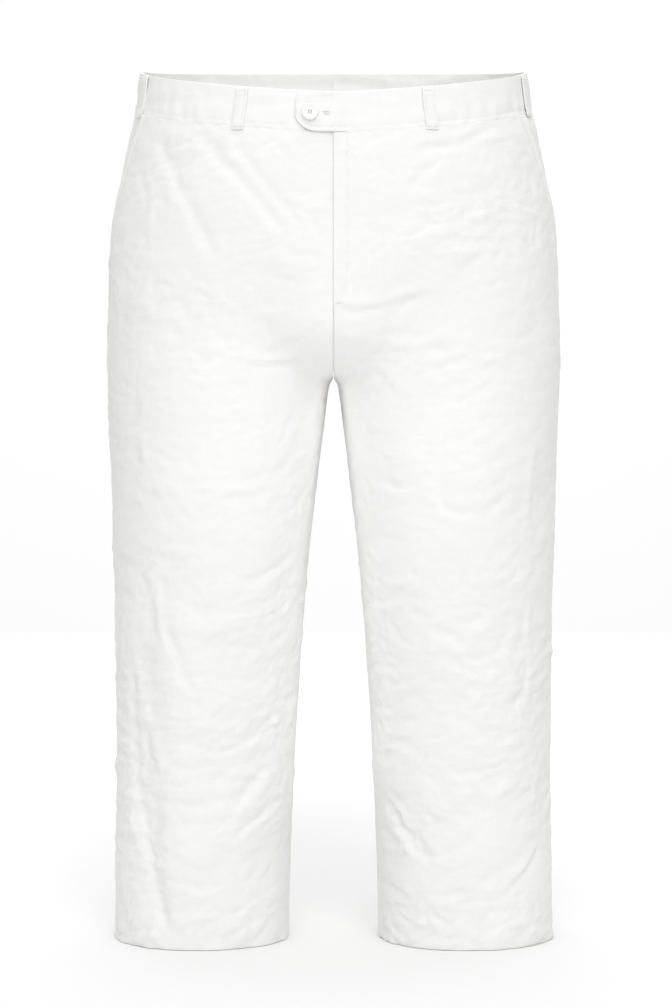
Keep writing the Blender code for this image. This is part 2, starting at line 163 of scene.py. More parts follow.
def sectionPoints(turn, z):
    # the unfolded cloth on the +X side: turn is 0 at the inner front edge (the centre seam, or
    # the inseam on a leg), 1 at the side seam and 2 at the inner back edge
    outer, inner, front, back, sideY = readForm(z)
    inFront = turn <= 1.0
    depth = np.where(inFront, front, back)
    fromCentre = np.where(inFront, turn, 2.0 - turn)
    share = legShare(z, np.where(inFront, garment["forkFront"], garment["forkBack"]), fromCentre)
    quarter = fromCentre * math.pi / 2
    bodyX = outer * roundedPower(np.sin(quarter), garment["bodyRound"])
    bodyY = depth * roundedPower(np.maximum(np.cos(quarter), 0.0), garment["bodyRound"])
    radius = (outer - inner) / 2
    legX = (outer + inner) / 2 - radius * roundedPower(np.cos(2 * quarter), garment["legRound"])
    legY = depth * roundedPower(np.maximum(np.sin(2 * quarter), 0.0), garment["legRound"])
    x = (1 - share) * bodyX + share * legX
    y = sideY + np.where(inFront, -1.0, 1.0) * ((1 - share) * bodyY + share * legY)
    return np.stack([x, y, z], axis=-1)


def smoothPoints(turn, z):
    # away from the centre the sections are evened out up and down round the crotch
    turn, z = np.broadcast_arrays(np.asarray(turn, float), np.asarray(z, float))
    place = sectionPoints(turn, z)
    fromCentre = np.minimum(turn, 2.0 - turn)
    share = easeCurve(fromCentre / garment["evenTurn"])
    share = share * bellCurve(z - garment["crotch"], garment["evenFall"])
    even = sum(
        weight * sectionPoints(turn, z + shift * garment["evenReach"])
        for shift, weight in garment["evenWeights"]
    )
    moved = share[..., None] * (even - place)
    moved[..., 2] = 0.0
    return place + moved


def outwardVectors(turn, z):
    step = garment["slopeStep"]
    turn, z = np.broadcast_arrays(np.asarray(turn, float), np.asarray(z, float))
    after = np.minimum(turn + step, 2.0)
    before = np.maximum(turn - step, 0.0)
    along = smoothPoints(after, z) - smoothPoints(before, z)
    across = smoothPoints(step, z) - smoothPoints(2.0 - step, z)
    onInseam = (z < garment["crotch"]) & ((turn <= 0.0) | (turn >= 2.0))
    along = np.where(onInseam[..., None], across, along)
    up = smoothPoints(turn, z + step) - smoothPoints(turn, z - step)
    return unitVectors(np.cross(along, up))


def rimHeight(turn):
    turn = np.asarray(turn, float)
    front = 1 - np.clip(turn, 0.0, 1.0) ** garment["rimFrontPower"]
    back = 1 - np.clip(2 - turn, 0.0, 1.0) ** garment["rimBackPower"]
    dip = np.where(turn <= 1.0, -garment["rimFrontDip"] * front, garment["rimBackRise"] * back)
    return garment["rimSide"] + dip


def rowHeight(level, turn):
    seamSide = garment["rimSide"] - garment["bandHeight"]
    fade = np.clip((level - garment["dipEnd"]) / (seamSide - garment["dipEnd"]), 0.0, 1.0)
    return level + (rimHeight(turn) - garment["rimSide"]) * fade


def seamWave(side, turn):
    # how far the waist seam strays up or down at a place round it
    noise = latticeNoise(side * turn / garment["waveReach"], 0.5 + 0.0 * turn, 72)
    return garment["seamWave"] * noise


def rowPlaces(levels, turn, side):
    # the heights, places and outward vectors along a panel's rows, which near the top follow
    # the waist seam
    fade = 1 - easeCurve((levels[0] - levels[:, None]) / garment["waveFade"])
    z = rowHeight(levels[:, None], turn)
    z = z + seamWave(side, turn) * fade
    return z, smoothPoints(turn, z), outwardVectors(turn, z)


def panelName(side, lead):
    return ("front" if lead < 0 else "back") + ("_left" if side > 0 else "_right")


def pocketTurn(level):
    # where the pocket mouth's slanting edge lies on a row: 1 below the pocket
    topTurn = garment["pocketTopTurn"]
    top = rowHeight(garment["rimSide"] - garment["bandHeight"], topTurn)
    z = rowHeight(level, topTurn)
    fall = np.clip((top - z) / (top - garment["pocketFoot"]), 0.0, 1.0)
    return topTurn + (1.0 - topTurn) * fall


def frontTurn(x, z):
    # the place round the front whose distance from the centre is x
    outer = readForm(z)[0]
    return np.arcsin((x / outer) ** (1 / garment["bodyRound"])) / (math.pi / 2)


def seenTurn(x, z, lead):
    # the place whose distance from the centre plane is x, on a front (lead -1) or a back
    shares = np.linspace(0.0, 1.0, 400)
    turns = shares if lead < 0 else 2.0 - shares
    return np.array([
        np.interp(abs(oneX), smoothPoints(turns, oneZ)[:, 0], turns) for oneX, oneZ in zip(x, z)
    ])


def smoothPath(points, step):
    # a curve through the points, with places about one step apart
    points = np.asarray(points, float)
    if len(points) == 2:
        points = np.array([points[0], (points[0] + points[1]) / 2, points[1]])
    padded = np.vstack([2 * points[0] - points[1], points, 2 * points[-1] - points[-2]])
    places = []
    for index in range(1, len(padded) - 2):
        a, b, c, d = padded[index - 1:index + 3]
        count = max(2, int(np.linalg.norm(c - b) / step))
        t = (np.arange(count) / count)[:, None]
        places.append(0.5 * (
            2 * b + (c - a) * t + (2 * a - 5 * b + 4 * c - d) * t**2
            + (3 * b - 3 * c + d - a) * t**3
        ))
    places.append(points[-1:])
    return np.vstack(places)


def latticeNoise(x, y, seed):
    # smooth hills and hollows about one unit across, between -1 and 1
    angles = np.random.default_rng(seed).uniform(0.0, math.tau, (64, 64))
    left = np.floor(x).astype(int)
    low = np.floor(y).astype(int)
    total = 0.0
    for stepX in (0, 1):
        for stepY in (0, 1):
            angle = angles[(left + stepX) % 64, (low + stepY) % 64]
            awayX = x - left - stepX
            awayY = y - low - stepY
            near = easeCurve(1 - np.abs(awayX)) * easeCurve(1 - np.abs(awayY))
            total = total + near * (np.cos(angle) * awayX + np.sin(angle) * awayY)
    return total * 1.6


# the main creases, each as depth (below zero a trough), half width, the ridge beside it (a share
# of the depth, above zero on its upper or right side, below zero on the other) and the points
# that it passes from left to right or downwards, across and up, all in mm
creases = {
    "front_right": [
        (-1.9, 6.5, -0.25, [
            (-131, -46), (-110, -70), (-89, -91), (-70, -113), (-55, -132), (-38, -150),
        ]),
        (-1.5, 6.0, -0.25, [(-98, -46), (-86, -68), (-66, -96), (-46, -118), (-30, -134)]),
        (-1.8, 7.0, -0.25, [(-170, -46), (-151, -91), (-136, -120), (-123, -146), (-110, -172)]),
        (+4.4, 24.0, 0.0, [(-150, -480), (-148, -600), (-147, -720), (-146, -836)]),
        (-3.4, 13.0, 0.0, [(-186, -520), (-182, -600), (-179, -690), (-172, -770), (-164, -836)]),
        (-0.8, 4.0, +0.3, [(-65, -48), (-52, -62), (-40, -74)]),
        (-0.8, 4.0, +0.3, [(-120, -40), (-105, -45), (-80, -58)]),
        (-0.7, 4.0, +0.3, [(-110, -140), (-92, -148)]),
        (-0.9, 4.0, +0.3, [(-50, -162), (-28, -164), (-5, -164)]),
        (+0.9, 5.0, 0.0, [(-62, -160), (-50, -170), (-38, -177)]),
        (-0.9, 4.5, +0.3, [(-65, -183), (-45, -188), (-35, -195)]),
        (-0.7, 4.0, +0.3, [(-38, -120), (-12, -127)]),
        (-0.6, 4.0, +0.3, [(-50, -105), (-20, -108)]),
        (-1.3, 5.0, +0.4, [(-78, -264), (-55, -255), (-42, -248), (-28, -245)]),
        (-1.6, 3.6, +0.8, [(-92, -269), (-70, -270), (-45, -269), (-30, -263), (-12, -258)]),
        (-1.2, 4.0, +0.3, [(-30, -243), (-12, -232), (-2, -226)]),
        (-1.1, 4.5, +0.5, [(-188, -75), (-184, -95), (-180, -112), (-178, -135)]),
        (+0.9, 4.0, 0.0, [(-181, -100), (-177, -125), (-175, -150)]),
        (-0.8, 4.0, +0.3, [(-150, -205), (-143, -218)]),
        (+0.8, 5.0, 0.0, [(-180, -215), (-170, -225)]),
        (+1.4, 6.0, 0.0, [(-10, -290), (-20, -320), (-30, -336)]),
        (-1.4, 4.5, -0.5, [(-38, -312), (-48, -338), (-57, -354)]),
        (-1.4, 4.0, +0.5, [(-90, -378), (-75, -377), (-60, -371), (-42, -367)]),
        (-1.2, 5.5, -0.7, [(-128, -380), (-110, -379), (-90, -377)]),
        (-1.0, 4.0, +0.6, [(-110, -398), (-78, -396), (-60, -389)]),
        (-0.9, 4.0, 0.3, [(-152, -403), (-142, -416), (-138, -426)]),
        (+1.0, 4.5, 0.0, [(-195, -385), (-185, -405), (-176, -417)]),
        (+1.2, 5.0, 0.0, [(-190, -328), (-183, -350), (-180, -372)]),
        (-0.9, 4.0, +0.4, [(-192, -345), (-190, -366)]),
        (-0.9, 3.6, +0.5, [(-102, -437), (-85, -443), (-68, -450)]),
        (-2.1, 4.6, -0.5, [(-100, -488), (-80, -478), (-65, -472), (-48, -461), (-34, -452)]),
        (-0.9, 4.0, +0.4, [(-50, -492), (-36, -486)]),
        (+1.0, 6.0, 0.0, [(-160, -447), (-140, -460), (-120, -475)]),
        (-0.9, 5.0, 0.0, [(-172, -456), (-150, -462)]),
        (-1.0, 6.0, 0.0, [(-150, -504), (-125, -507), (-104, -506)]),
        (+1.7, 8.0, 0.0, [(-160, -510), (-145, -522), (-120, -528), (-100, -520), (-90, -512)]),
        (-1.2, 5.0, +0.4, [(-116, -540), (-95, -542), (-70, -540)]),
        (+1.9, 4.0, 0.0, [(-173, -480), (-170, -505), (-167, -525), (-160, -550)]),
        (-2.5, 6.0, 0.0, [(-166, -508), (-160, -530), (-150, -552), (-140, -572), (-133, -585)]),
        (-2.0, 7.0, 0.0, [(-190, -470), (-180, -495), (-177, -525), (-178, -545)]),
        (+1.0, 5.0, 0.0, [(-50, -508), (-47, -530), (-45, -548)]),
        (-1.5, 4.5, +0.5, [(-162, -564), (-148, -570), (-136, -584), (-126, -587)]),
        (-0.6, 3.0, -0.9, [(-142, -585), (-142, -610), (-143, -640), (-146, -700), (-148, -745)]),
        (+2.2, 7.0, 0.0, [(-191, -565), (-187, -590), (-183, -615), (-172, -645), (-166, -680)]),
        (+1.0, 6.0, 0.0, [(-166, -685), (-163, -712), (-158, -735)]),
        (-2.6, 6.5, +0.3, [
            (-198, -556), (-196, -610), (-194, -650), (-189, -700), (-182, -740), (-175, -775),
            (-170, -800), (-161, -831),
        ]),
        (+1.3, 5.5, 0.0, [(-203, -690), (-198, -720), (-192, -752)]),
        (-1.2, 4.0, +0.4, [(-206, -762), (-194, -768), (-183, -776)]),
        (-1.1, 3.4, -0.6, [
            (-152, -643), (-130, -643), (-110, -646), (-88, -638), (-65, -628), (-46, -620),
        ]),
        (-0.8, 3.4, +0.3, [(-162, -655), (-145, -662), (-120, -658), (-103, -651)]),
        (-0.9, 5.0, +0.3, [(-122, -677), (-100, -664)]),
        (-2.1, 6.0, -0.6, [(-104, -713), (-94, -698), (-84, -684), (-72, -670), (-58, -657)]),
        (-1.0, 3.6, +0.6, [(-127, -720), (-112, -717), (-100, -709)]),
        (-1.8, 4.0, -0.6, [(-104, -742), (-92, -727), (-84, -719), (-70, -710), (-50, -697)]),
        (-0.9, 4.5, 0.3, [(-150, -698), (-120, -701)]),
        (-1.0, 6.0, 0.3, [(-120, -762), (-100, -750), (-88, -738)]),
        (-1.4, 4.0, +0.5, [(-92, -780), (-80, -772), (-72, -763)]),
        (-0.9, 4.5, -0.9, [(-155, -777), (-125, -779), (-98, -780)]),
        (-0.8, 4.0, -0.7, [(-162, -801), (-140, -797), (-115, -796)]),
    ],
    "front_left": [
        (-0.9, 4.0, +0.3, [(28, -60), (40, -54), (60, -50)]),
        (-0.8, 4.0, +0.3, [(105, -50), (118, -43), (132, -39)]),
        (-1.3, 4.5, +0.4, [(72, -71), (85, -64), (105, -62), (125, -56), (140, -48), (160, -39)]),
        (-1.2, 4.5, +0.4, [(72, -108), (78, -95), (85, -85), (100, -79)]),
        (-0.8, 4.0, +0.3, [(25, -108), (50, -109)]),
        (-0.6, 4.0, +0.3, [(90, -105), (125, -104), (142, -99)]),
        (-0.9, 4.0, -0.8, [(118, -128), (135, -122), (162, -117)]),
        (-0.9, 14.0, 0.0, [(60, -108), (61, -140), (63, -182)]),
        (-0.8, 5.0, +0.9, [(110, -184), (125, -176), (140, -166), (154, -152)]),
        (-0.6, 3.6, +0.4, [(28, -140), (36, -138)]),
        (-0.6, 3.6, +0.4, [(28, -158), (41, -151)]),
        (-2.2, 4.8, +0.7, [(2, -212), (15, -218), (40, -217), (60, -212), (80, -206), (98, -202)]),
        (-1.2, 4.0, +0.3, [(4, -236), (20, -222)]),
        (+1.5, 5.0, 0.0, [(13, -236), (20, -244), (27, -251)]),
        (+1.0, 5.0, 0.0, [(10, -258), (30, -282)]),
        (-1.2, 5.0, +0.8, [(38, -255), (60, -258), (80, -258), (102, -253), (126, -250)]),
        (-1.1, 4.0, -0.7, [(84, -278), (105, -270), (122, -265)]),
        (-0.9, 3.6, +0.5, [(188, -78), (192, -98), (192, -118)]),
        (-0.8, 4.0, +0.4, [(173, -78), (168, -100), (164, -122)]),
        (+0.8, 5.0, 0.0, [(178, -148), (170, -159)]),
        (-0.8, 4.0, +0.4, [(170, -248), (185, -243), (203, -227)]),
        (-1.0, 4.5, +0.4, [(36, -290), (50, -291), (62, -297)]),
        (-0.9, 3.6, +0.6, [(84, -311), (96, -310), (108, -307)]),
        (+1.2, 6.0, 0.0, [(32, -331), (44, -327)]),
        (-0.8, 3.6, +0.3, [(26, -336), (60, -336), (86, -328)]),
        (+0.9, 6.0, 0.0, [(56, -352), (58, -374)]),
        (-2.3, 4.2, -0.4, [(38, -386), (50, -384), (62, -388), (72, -386), (84, -382)]),
        (+1.0, 4.0, 0.0, [(82, -394), (95, -399), (106, -407)]),
        (-1.9, 3.8, -0.4, [(96, -400), (108, -408), (118, -412), (128, -413), (142, -410)]),
        (-1.5, 4.2, -0.3, [(142, -419), (150, -408), (160, -401), (170, -388)]),
        (+1.9, 5.0, 0.0, [(199, -338), (193, -356), (190, -382), (189, -410), (186, -434)]),
        (-0.9, 4.0, +0.6, [(38, -437), (52, -438), (64, -440), (78, -449)]),
        (-1.1, 3.8, +0.8, [(31, -452), (38, -462), (47, -476)]),
        (-1.3, 5.0, +0.4, [(46, -492), (62, -492), (78, -492)]),
        (+1.5, 5.5, 0.0, [(38, -504), (46, -508)]),
        (-1.1, 4.0, +0.6, [(74, -508), (85, -513), (97, -516)]),
        (-1.2, 4.5, +0.3, [(50, -518), (60, -528), (66, -537), (78, -541)]),
        (-2.0, 6.0, -0.4, [(92, -527), (110, -529), (120, -537), (134, -547)]),
        (-1.3, 6.0, -0.9, [(122, -520), (136, -517), (150, -510), (160, -508)]),
        (-1.5, 4.5, +0.3, [(168, -516), (167, -532), (157, -547)]),
        (-1.0, 3.4, -0.3, [(127, -554), (140, -554), (150, -549)]),
        (+1.1, 4.5, 0.0, [(88, -546), (104, -546)]),
        (+1.3, 4.0, 0.0, [(192, -494), (190, -518), (189, -545)]),
        (-1.3, 4.5, 0.0, [(187, -510), (184, -530), (182, -550)]),
        (-1.9, 5.0, +0.4, [(92, -579), (100, -577), (112, -572)]),
        (-1.1, 4.5, +0.3, [(56, -578), (80, -578)]),
        (-0.9, 4.0, +0.5, [(118, -585), (136, -584), (160, -596)]),
        (-2.2, 5.0, +0.4, [(192, -556), (187, -578), (182, -592), (175, -602), (169, -614)]),
        (-0.9, 4.0, +0.4, [(62, -616), (86, -617)]),
        (-1.3, 4.5, -0.9, [(46, -634), (64, -640), (84, -641)]),
        (-1.1, 3.0, -0.5, [(108, -659), (118, -666), (130, -669), (142, -667), (158, -660)]),
        (+0.9, 5.0, 0.0, [(78, -684), (94, -684)]),
        (-1.7, 4.5, -0.6, [(52, -688), (62, -697), (72, -703), (80, -706)]),
        (-2.5, 5.5, -0.3, [(46, -699), (58, -706), (65, -718), (72, -730), (80, -743), (86, -754)]),
        (-1.9, 5.5, +0.4, [(83, -718), (85, -738), (91, -750), (104, -758)]),
        (-1.1, 4.0, 0.5, [(47, -729), (62, -734)]),
        (+1.3, 4.5, 0.0, [(68, -740), (76, -748), (84, -757)]),
        (-1.5, 4.0, +0.4, [(46, -784), (62, -788), (72, -794), (84, -798)]),
        (-1.2, 5.5, +0.3, [(136, -778), (150, -772), (160, -764), (174, -755)]),
        (-2.2, 3.6, +0.7, [(163, -789), (178, -779), (188, -768), (197, -757), (205, -744)]),
        (-1.5, 5.0, 0.3, [(184, -780), (183, -800), (187, -824)]),
        (-0.8, 3.4, +0.3, [(142, -794), (168, -790)]),
    ],
    "back_left": [
        (-1.5, 2.3, +0.5, [(108, -16), (106, -60), (101, -106)]),    # the dart
        (-1.2, 5.0, +0.4, [(25, -62), (48, -74), (80, -78), (110, -70)]),
        (-0.9, 4.5, +0.3, [(128, -50), (142, -66), (150, -90)]),
        (-1.0, 5.0, +0.4, [(88, -128), (112, -134), (140, -130)]),
        (-0.8, 4.0, +0.3, [(34, -132), (52, -138)]),
        (-2.0, 6.0, +0.5, [(8, -214), (35, -226), (70, -230), (106, -222), (140, -208)]),
        (-2.4, 6.0, +0.6, [(12, -246), (40, -256), (76, -258), (118, -246)]),
        (-1.6, 5.0, +0.4, [(14, -278), (38, -290), (70, -292)]),
        (+1.4, 7.0, 0.0, [(60, -310), (100, -318), (146, -304)]),
        (-1.2, 5.0, +0.4, [(28, -324), (56, -334), (92, -336)]),
        (-1.4, 5.0, -0.4, [(196, -300), (188, -330), (176, -356)]),
        (-2.4, 6.5, +0.5, [(34, -452), (66, -466), (104, -470), (146, -462), (184, -446)]),
        (-2.8, 6.5, +0.6, [(38, -486), (72, -500), (112, -504), (156, -496)]),
        (-1.8, 5.0, +0.4, [(62, -526), (94, -534), (134, -530), (170, -516)]),
        (+1.6, 7.0, 0.0, [(50, -548), (90, -556), (130, -552)]),
        (-1.4, 5.0, +0.4, [(46, -582), (74, -590), (110, -588)]),
        (-1.6, 5.0, +0.3, [(192, -540), (182, -572), (168, -600)]),
        (-1.2, 4.0, -0.5, [(60, -636), (92, -644), (128, -640)]),
        (-1.6, 5.0, +0.4, [(196, -640), (188, -676), (174, -704)]),
        (-1.4, 4.5, +0.4, [(50, -690), (78, -704), (100, -726)]),
        (-1.0, 4.0, +0.4, [(108, -744), (134, -750), (160, -742)]),
        (-1.6, 4.5, +0.4, [(52, -762), (70, -774), (92, -780)]),
        (-1.2, 4.0, +0.5, [(198, -740), (186, -762), (170, -780)]),
    ],
    "back_right": [
        (-1.5, 2.3, -0.5, [(-107, -16), (-105, -60), (-101, -105)]),
        (-1.1, 5.0, +0.4, [(-28, -70), (-54, -80), (-86, -76)]),
        (-1.3, 5.0, +0.4, [(-120, -46), (-134, -62), (-156, -70)]),
        (-0.9, 4.5, +0.3, [(-60, -118), (-84, -126), (-116, -120)]),
        (-0.8, 4.0, +0.3, [(-146, -150), (-170, -146)]),
        (-1.9, 6.0, +0.5, [(-8, -220), (-38, -234), (-74, -236), (-112, -224)]),
        (-2.5, 6.0, +0.6, [(-12, -252), (-44, -264), (-84, -262), (-130, -244)]),
        (-1.4, 5.0, +0.4, [(-16, -284), (-42, -298), (-78, -302)]),
        (+1.4, 7.0, 0.0, [(-70, -322), (-104, -328), (-150, -312)]),
        (-1.1, 5.0, +0.4, [(-30, -340), (-62, -352), (-88, -350)]),
        (-1.5, 5.0, -0.4, [(-194, -330), (-184, -362), (-170, -384)]),
        (-2.6, 6.5, +0.5, [(-36, -464), (-70, -478), (-112, -480), (-160, -466)]),
        (-2.2, 6.0, +0.6, [(-42, -498), (-80, -512), (-120, -514), (-164, -498), (-190, -480)]),
        (-1.6, 5.0, +0.4, [(-70, -540), (-108, -546), (-140, -540)]),
        (+1.5, 7.0, 0.0, [(-60, -566), (-98, -570), (-140, -562)]),
        (-1.5, 5.0, +0.4, [(-48, -600), (-76, -612), (-104, -610)]),
        (-1.8, 5.0, +0.3, [(-196, -560), (-188, -600), (-172, -634)]),
        (-1.2, 4.0, -0.5, [(-110, -656), (-136, -662), (-166, -652)]),
        (-1.5, 5.0, +0.4, [(-54, -668), (-78, -684), (-96, -706)]),
        (-1.1, 4.0, +0.4, [(-120, -722), (-150, -726), (-176, -716)]),
        (-1.6, 4.5, +0.4, [(-56, -748), (-82, -760), (-112, -762)]),
        (-1.3, 4.0, +0.5, [(-200, -700), (-190, -726), (-178, -744)]),
    ],
}

# how a listed crease is run along its path, the widths as shares of its own half width
creaseSizes = {
    "step": 0.0012,
    "reach": 4.0,
    "taper": 0.022, "taperWidths": 3.0, "taperShare": 0.35,
    "ridgeAway": 1.7, "ridgeWidth": 1.25,
    "hand": 0.85,             # how much of the stated depth is used
    "atSeam": 0.30, "seamFade": 0.010,
}

crumpleSizes = {
    "broad": 0.0010, "broadAcross": 0.085, "broadUp": 0.060,
    "middle": 0.0014, "middleAcross": 0.040, "middleUp": 0.020,
    "fine": 0.00100, "fineAcross": 0.019, "fineUp": 0.0088,
    "small": 0.00042, "smallAcross": 0.0085, "smallUp": 0.0062,
    "patchAcross": 0.110, "patchUp": 0.085,
    # the places at which the noises are read stray by this much, and slant
    "stray": 0.010, "strayAcross": 0.047, "strayUp": 0.041,
    "sway": 0.008, "swayAcross": 0.052, "swayUp": 0.038,
    "slant": 0.18,
    "seamFade": 0.020,
    "strength": ((-0.842, 1.65), (-0.60, 1.65), (-0.45, 1.35), (-0.25, 1.1), (0.0, 1.0)),
    "flyPucker": 0.00035,
    "pucker": 0.00020, "puckerStep": 0.0085, "puckerReach": 0.0065, "puckerStart": 0.002,
    "gather": 0.00080, "gatherStep": 0.0080, "gatherReach": 0.0085, "gatherStart": 0.0015,
    "puckerLength": 0.05,
}


def creaseHeights(places, outward, pathList, lead, side):
    # how far the listed creases lift or sink the cloth at each place
    flatPlaces = places.reshape(-1, 3)
    flatOutward = outward.reshape(-1, 3)
    heights = np.zeros(len(flatPlaces))
    for depth, width, ridge, points in pathList:
        path = smoothPath(np.array(points) * 0.001, creaseSizes["step"])
        turns = seenTurn(path[:, 0], path[:, 1], lead)
        line = smoothPoints(turns, path[:, 1])
        line[:, 0] *= side
        run = unitVectors(np.gradient(line, axis=0))
        travel = lengthsAlong(line)
        length = travel[-1]
        width = width * 0.001
        margin = creaseSizes["reach"] * width
        low = line.min(axis=0) - margin
        high = line.max(axis=0) + margin
        near = np.nonzero(np.all((flatPlaces > low) & (flatPlaces < high), axis=1))[0]
        if len(near) == 0:
            continue
        offsets = flatPlaces[near, None, :] - line[None, :, :]
        distances = np.linalg.norm(offsets, axis=2)
        closest = np.argmin(distances, axis=1)
        away = distances[np.arange(len(near)), closest]
        offset = offsets[np.arange(len(near)), closest]
        aside = np.cross(flatOutward[near], run[closest])
        signed = np.where(np.sum(aside * offset, axis=1) >= 0.0, away, -away)
        place = travel[closest]
        taper = np.maximum(creaseSizes["taper"], creaseSizes["taperWidths"] * width)
        taper = np.minimum(creaseSizes["taperShare"] * length, taper)
        ends = easeCurve(place / taper) * easeCurve((length - place) / taper)
        profile = bellCurve(signed, width)
        if ridge:
            middle = math.copysign(creaseSizes["ridgeAway"] * width, ridge)
            beside = bellCurve(signed - middle, creaseSizes["ridgeWidth"] * width)
            profile = profile - abs(ridge) * beside
        heights[near] += depth * 0.001 * creaseSizes["hand"] * profile * ends
    return heights.reshape(places.shape[:-1])


def crumpleHeights(across, up, seed):
    # small uneven crumples, longer sideways than they are tall, in patches
    sizes = crumpleSizes

    def noise(size, x, y, step):
        return latticeNoise(x / sizes[size + "Across"], y / sizes[size + "Up"], seed + step)

    x = across + sizes["stray"] * noise("stray", across, up, 1)
    y = up + sizes["sway"] * noise("sway", across, up, 2) + sizes["slant"] * across
    broad = noise("broad", x, y, 3)
    middle = np.abs(noise("middle", x, y, 4))
    other = np.abs(noise("middle", x + y, y - x * 0.4, 5))
    fine = np.abs(noise("fine", x, y, 6))
    cross = np.abs(noise("fine", x - y, y + 0.7 * x, 10))
    small = noise("small", x, y, 11)
    patch = easeCurve(0.45 + 1.1 * noise("patch", x, y, 7))
    ridges = sizes["middle"] * (middle - 0.7 * other) + sizes["fine"] * (fine - 0.8 * cross)
    return sizes["broad"] * broad + (0.45 + 0.55 * patch) * (ridges + sizes["small"] * small)


def clothHeights(places, outward, across, lead, side, fromSeam, fromTop):
    # every fold of one panel together, which die away towards its seams
    name = panelName(side, lead)
    seed = 40 + 10 * side + 3 * lead
    z = places[..., 2]
    strength = np.array(crumpleSizes["strength"])
    crumple = crumpleHeights(across, z, seed) * np.interp(z, strength[:, 0], strength[:, 1])
    crumple = crumple * easeCurve(fromSeam / crumpleSizes["seamFade"])
    hand = creaseHeights(places, outward, creases[name], lead, side)
    atSeam = creaseSizes["atSeam"]
    hand = hand * (atSeam + (1 - atSeam) * easeCurve(fromSeam / creaseSizes["seamFade"]))
    sizes = crumpleSizes
    pucker = latticeNoise(z / sizes["puckerStep"], across / sizes["puckerLength"], seed + 8)
    pucker = pucker * easeCurve(fromSeam / sizes["puckerStart"])
    pucker = pucker * np.exp(-fromSeam / sizes["puckerReach"]) * sizes["pucker"]
    gather = latticeNoise(across / sizes["gatherStep"], fromTop / sizes["puckerLength"], seed + 9)
    gather = gather * np.exp(-fromTop / sizes["gatherReach"])
    gather = gather * easeCurve(fromTop / sizes["gatherStart"])
    return crumple + hand + pucker + gather * sizes["gather"]


# one panel's mesh: how its columns and rows are spread
panelSizes = {
    "columns": 126,
    "evenRows": 16,
    "evenShare": 0.86,
    "rowStep": 0.00262,
    "curl": (0.0, 0.0005, 0.0011, 0.0019, 0.0030),
    "curlRadius": 0.0018,
    "seamFlange": (0.0015, 0.0034, 0.0065),
    "topTuck": (0.0022, 0.0011, 0.0004),
    "topCurl": (0.0, 0.0003, 0.0007, 0.0014, 0.0027),
    "topRadius": 0.00025,
    "hemRadius": 0.0010,
    "hemRise": (0.0035, 0.008, 0.014, 0.020, 0.026, 0.032, 0.0372),
    "hemStitch": 0.0385,      # above the hem
    "hemStitchDepth": 0.00035,
    "hemStitchWidth": 0.0022,
    "flyFoot": -0.213,
    "flyFade": 0.008,         # the lap ends over this much height
    "flySeamFree": 0.005,     # at the lap and the mouth the folds come this much nearer the edge
    "mouthSeamFree": 0.010,
    "lappedShare": 0.07,      # how much of the seam's turn is left under the lap and the mouth
    "flyLift": 0.0014,
    "flyLiftReach": 0.010, "flyLiftFade": 0.012,
    "flyUnderlap": (0.0015, 0.0030, 0.0050),
    "mouthLift": 0.0023,
    "mouthFade": 0.12,
    "mouthReach": 0.009,
    "mouthGroove": 0.0011,
    "mouthGrooveWidth": 0.0018,
    "mouthInset": 0.0065,     # from the mouth's edge to its groove and row of stitches
    "mouthClose": 0.02,       # the mouth's edge closes over this much turn
    "usableFrom": 0.004,      # stitches find the cloth from this far below the waist seam
}


def panelLevels():
    # each row's height at the side seam, how far it is tucked in under the waistband, and for
    # the turned-up hem how far inside the outer face it lies
    sizes = panelSizes
    top = garment["rimSide"] - garment["bandHeight"] + garment["seamLap"]
    hem = garment["hem"]
    radius = sizes["hemRadius"]
    rows = [(top, tuck, 0.0) for tuck in sizes["topTuck"]]
    rows += [(top - fall, 0.0, 0.0) for fall in sizes["topCurl"]]
    first = top - sizes["topCurl"][-1]
    last = hem + 2.5 * radius
    count = int((first - last) / sizes["rowStep"])
    rows += [(first + (last - first) * step / count, 0.0, 0.0) for step in range(1, count + 1)]
    for step in range(1, 8):
        angle = math.pi * step / 8
        rows.append((hem + radius * (1 - math.sin(angle)), 0.0, radius * (1 - math.cos(angle))))
    rows += [(hem + rise, 0.0, 2 * radius) for rise in sizes["hemRise"]]
    return np.array(rows)


def layOut(levels, lead, start, end):
    # a table of fine steps along each row, to find the place at a given length along it, and
    # how far each row's end is from the side seam
    def stepped(first, last, count):
        shares = np.linspace(0.0, 1.0, count)
        fromCentre = first[:, None] + (last - first)[:, None] * shares[None, :]
        turn = fromCentre if lead < 0 else 2.0 - fromCentre
        points = smoothPoints(turn, rowHeight(levels[:, None], turn))
        steps = np.linalg.norm(np.diff(points, axis=1), axis=2)
        return turn, np.concatenate([np.zeros((len(levels), 1)), np.cumsum(steps, axis=1)], axis=1)

    turn, lengths = stepped(start, end, 300)
    beyond = stepped(end, np.ones(len(levels)), 40)[1][:, -1]
    return turn, lengths, beyond


def turnsAt(turn, lengths, wanted):
    return np.array([np.interp(wanted[row], lengths[row], turn[row]) for row in range(len(turn))])


def evenOut(values, reach):
    kernel = np.hanning(2 * reach + 3)[1:-1]
    return np.convolve(np.pad(values, reach, mode="edge"), kernel / kernel.sum(), "valid")


def curlDepth(fromEdge, radius):
    # how far a rounded edge falls away
    inside = np.clip(radius - fromEdge, 0.0, radius)
    return radius - np.sqrt(np.maximum(radius * radius - inside * inside, 0.0))


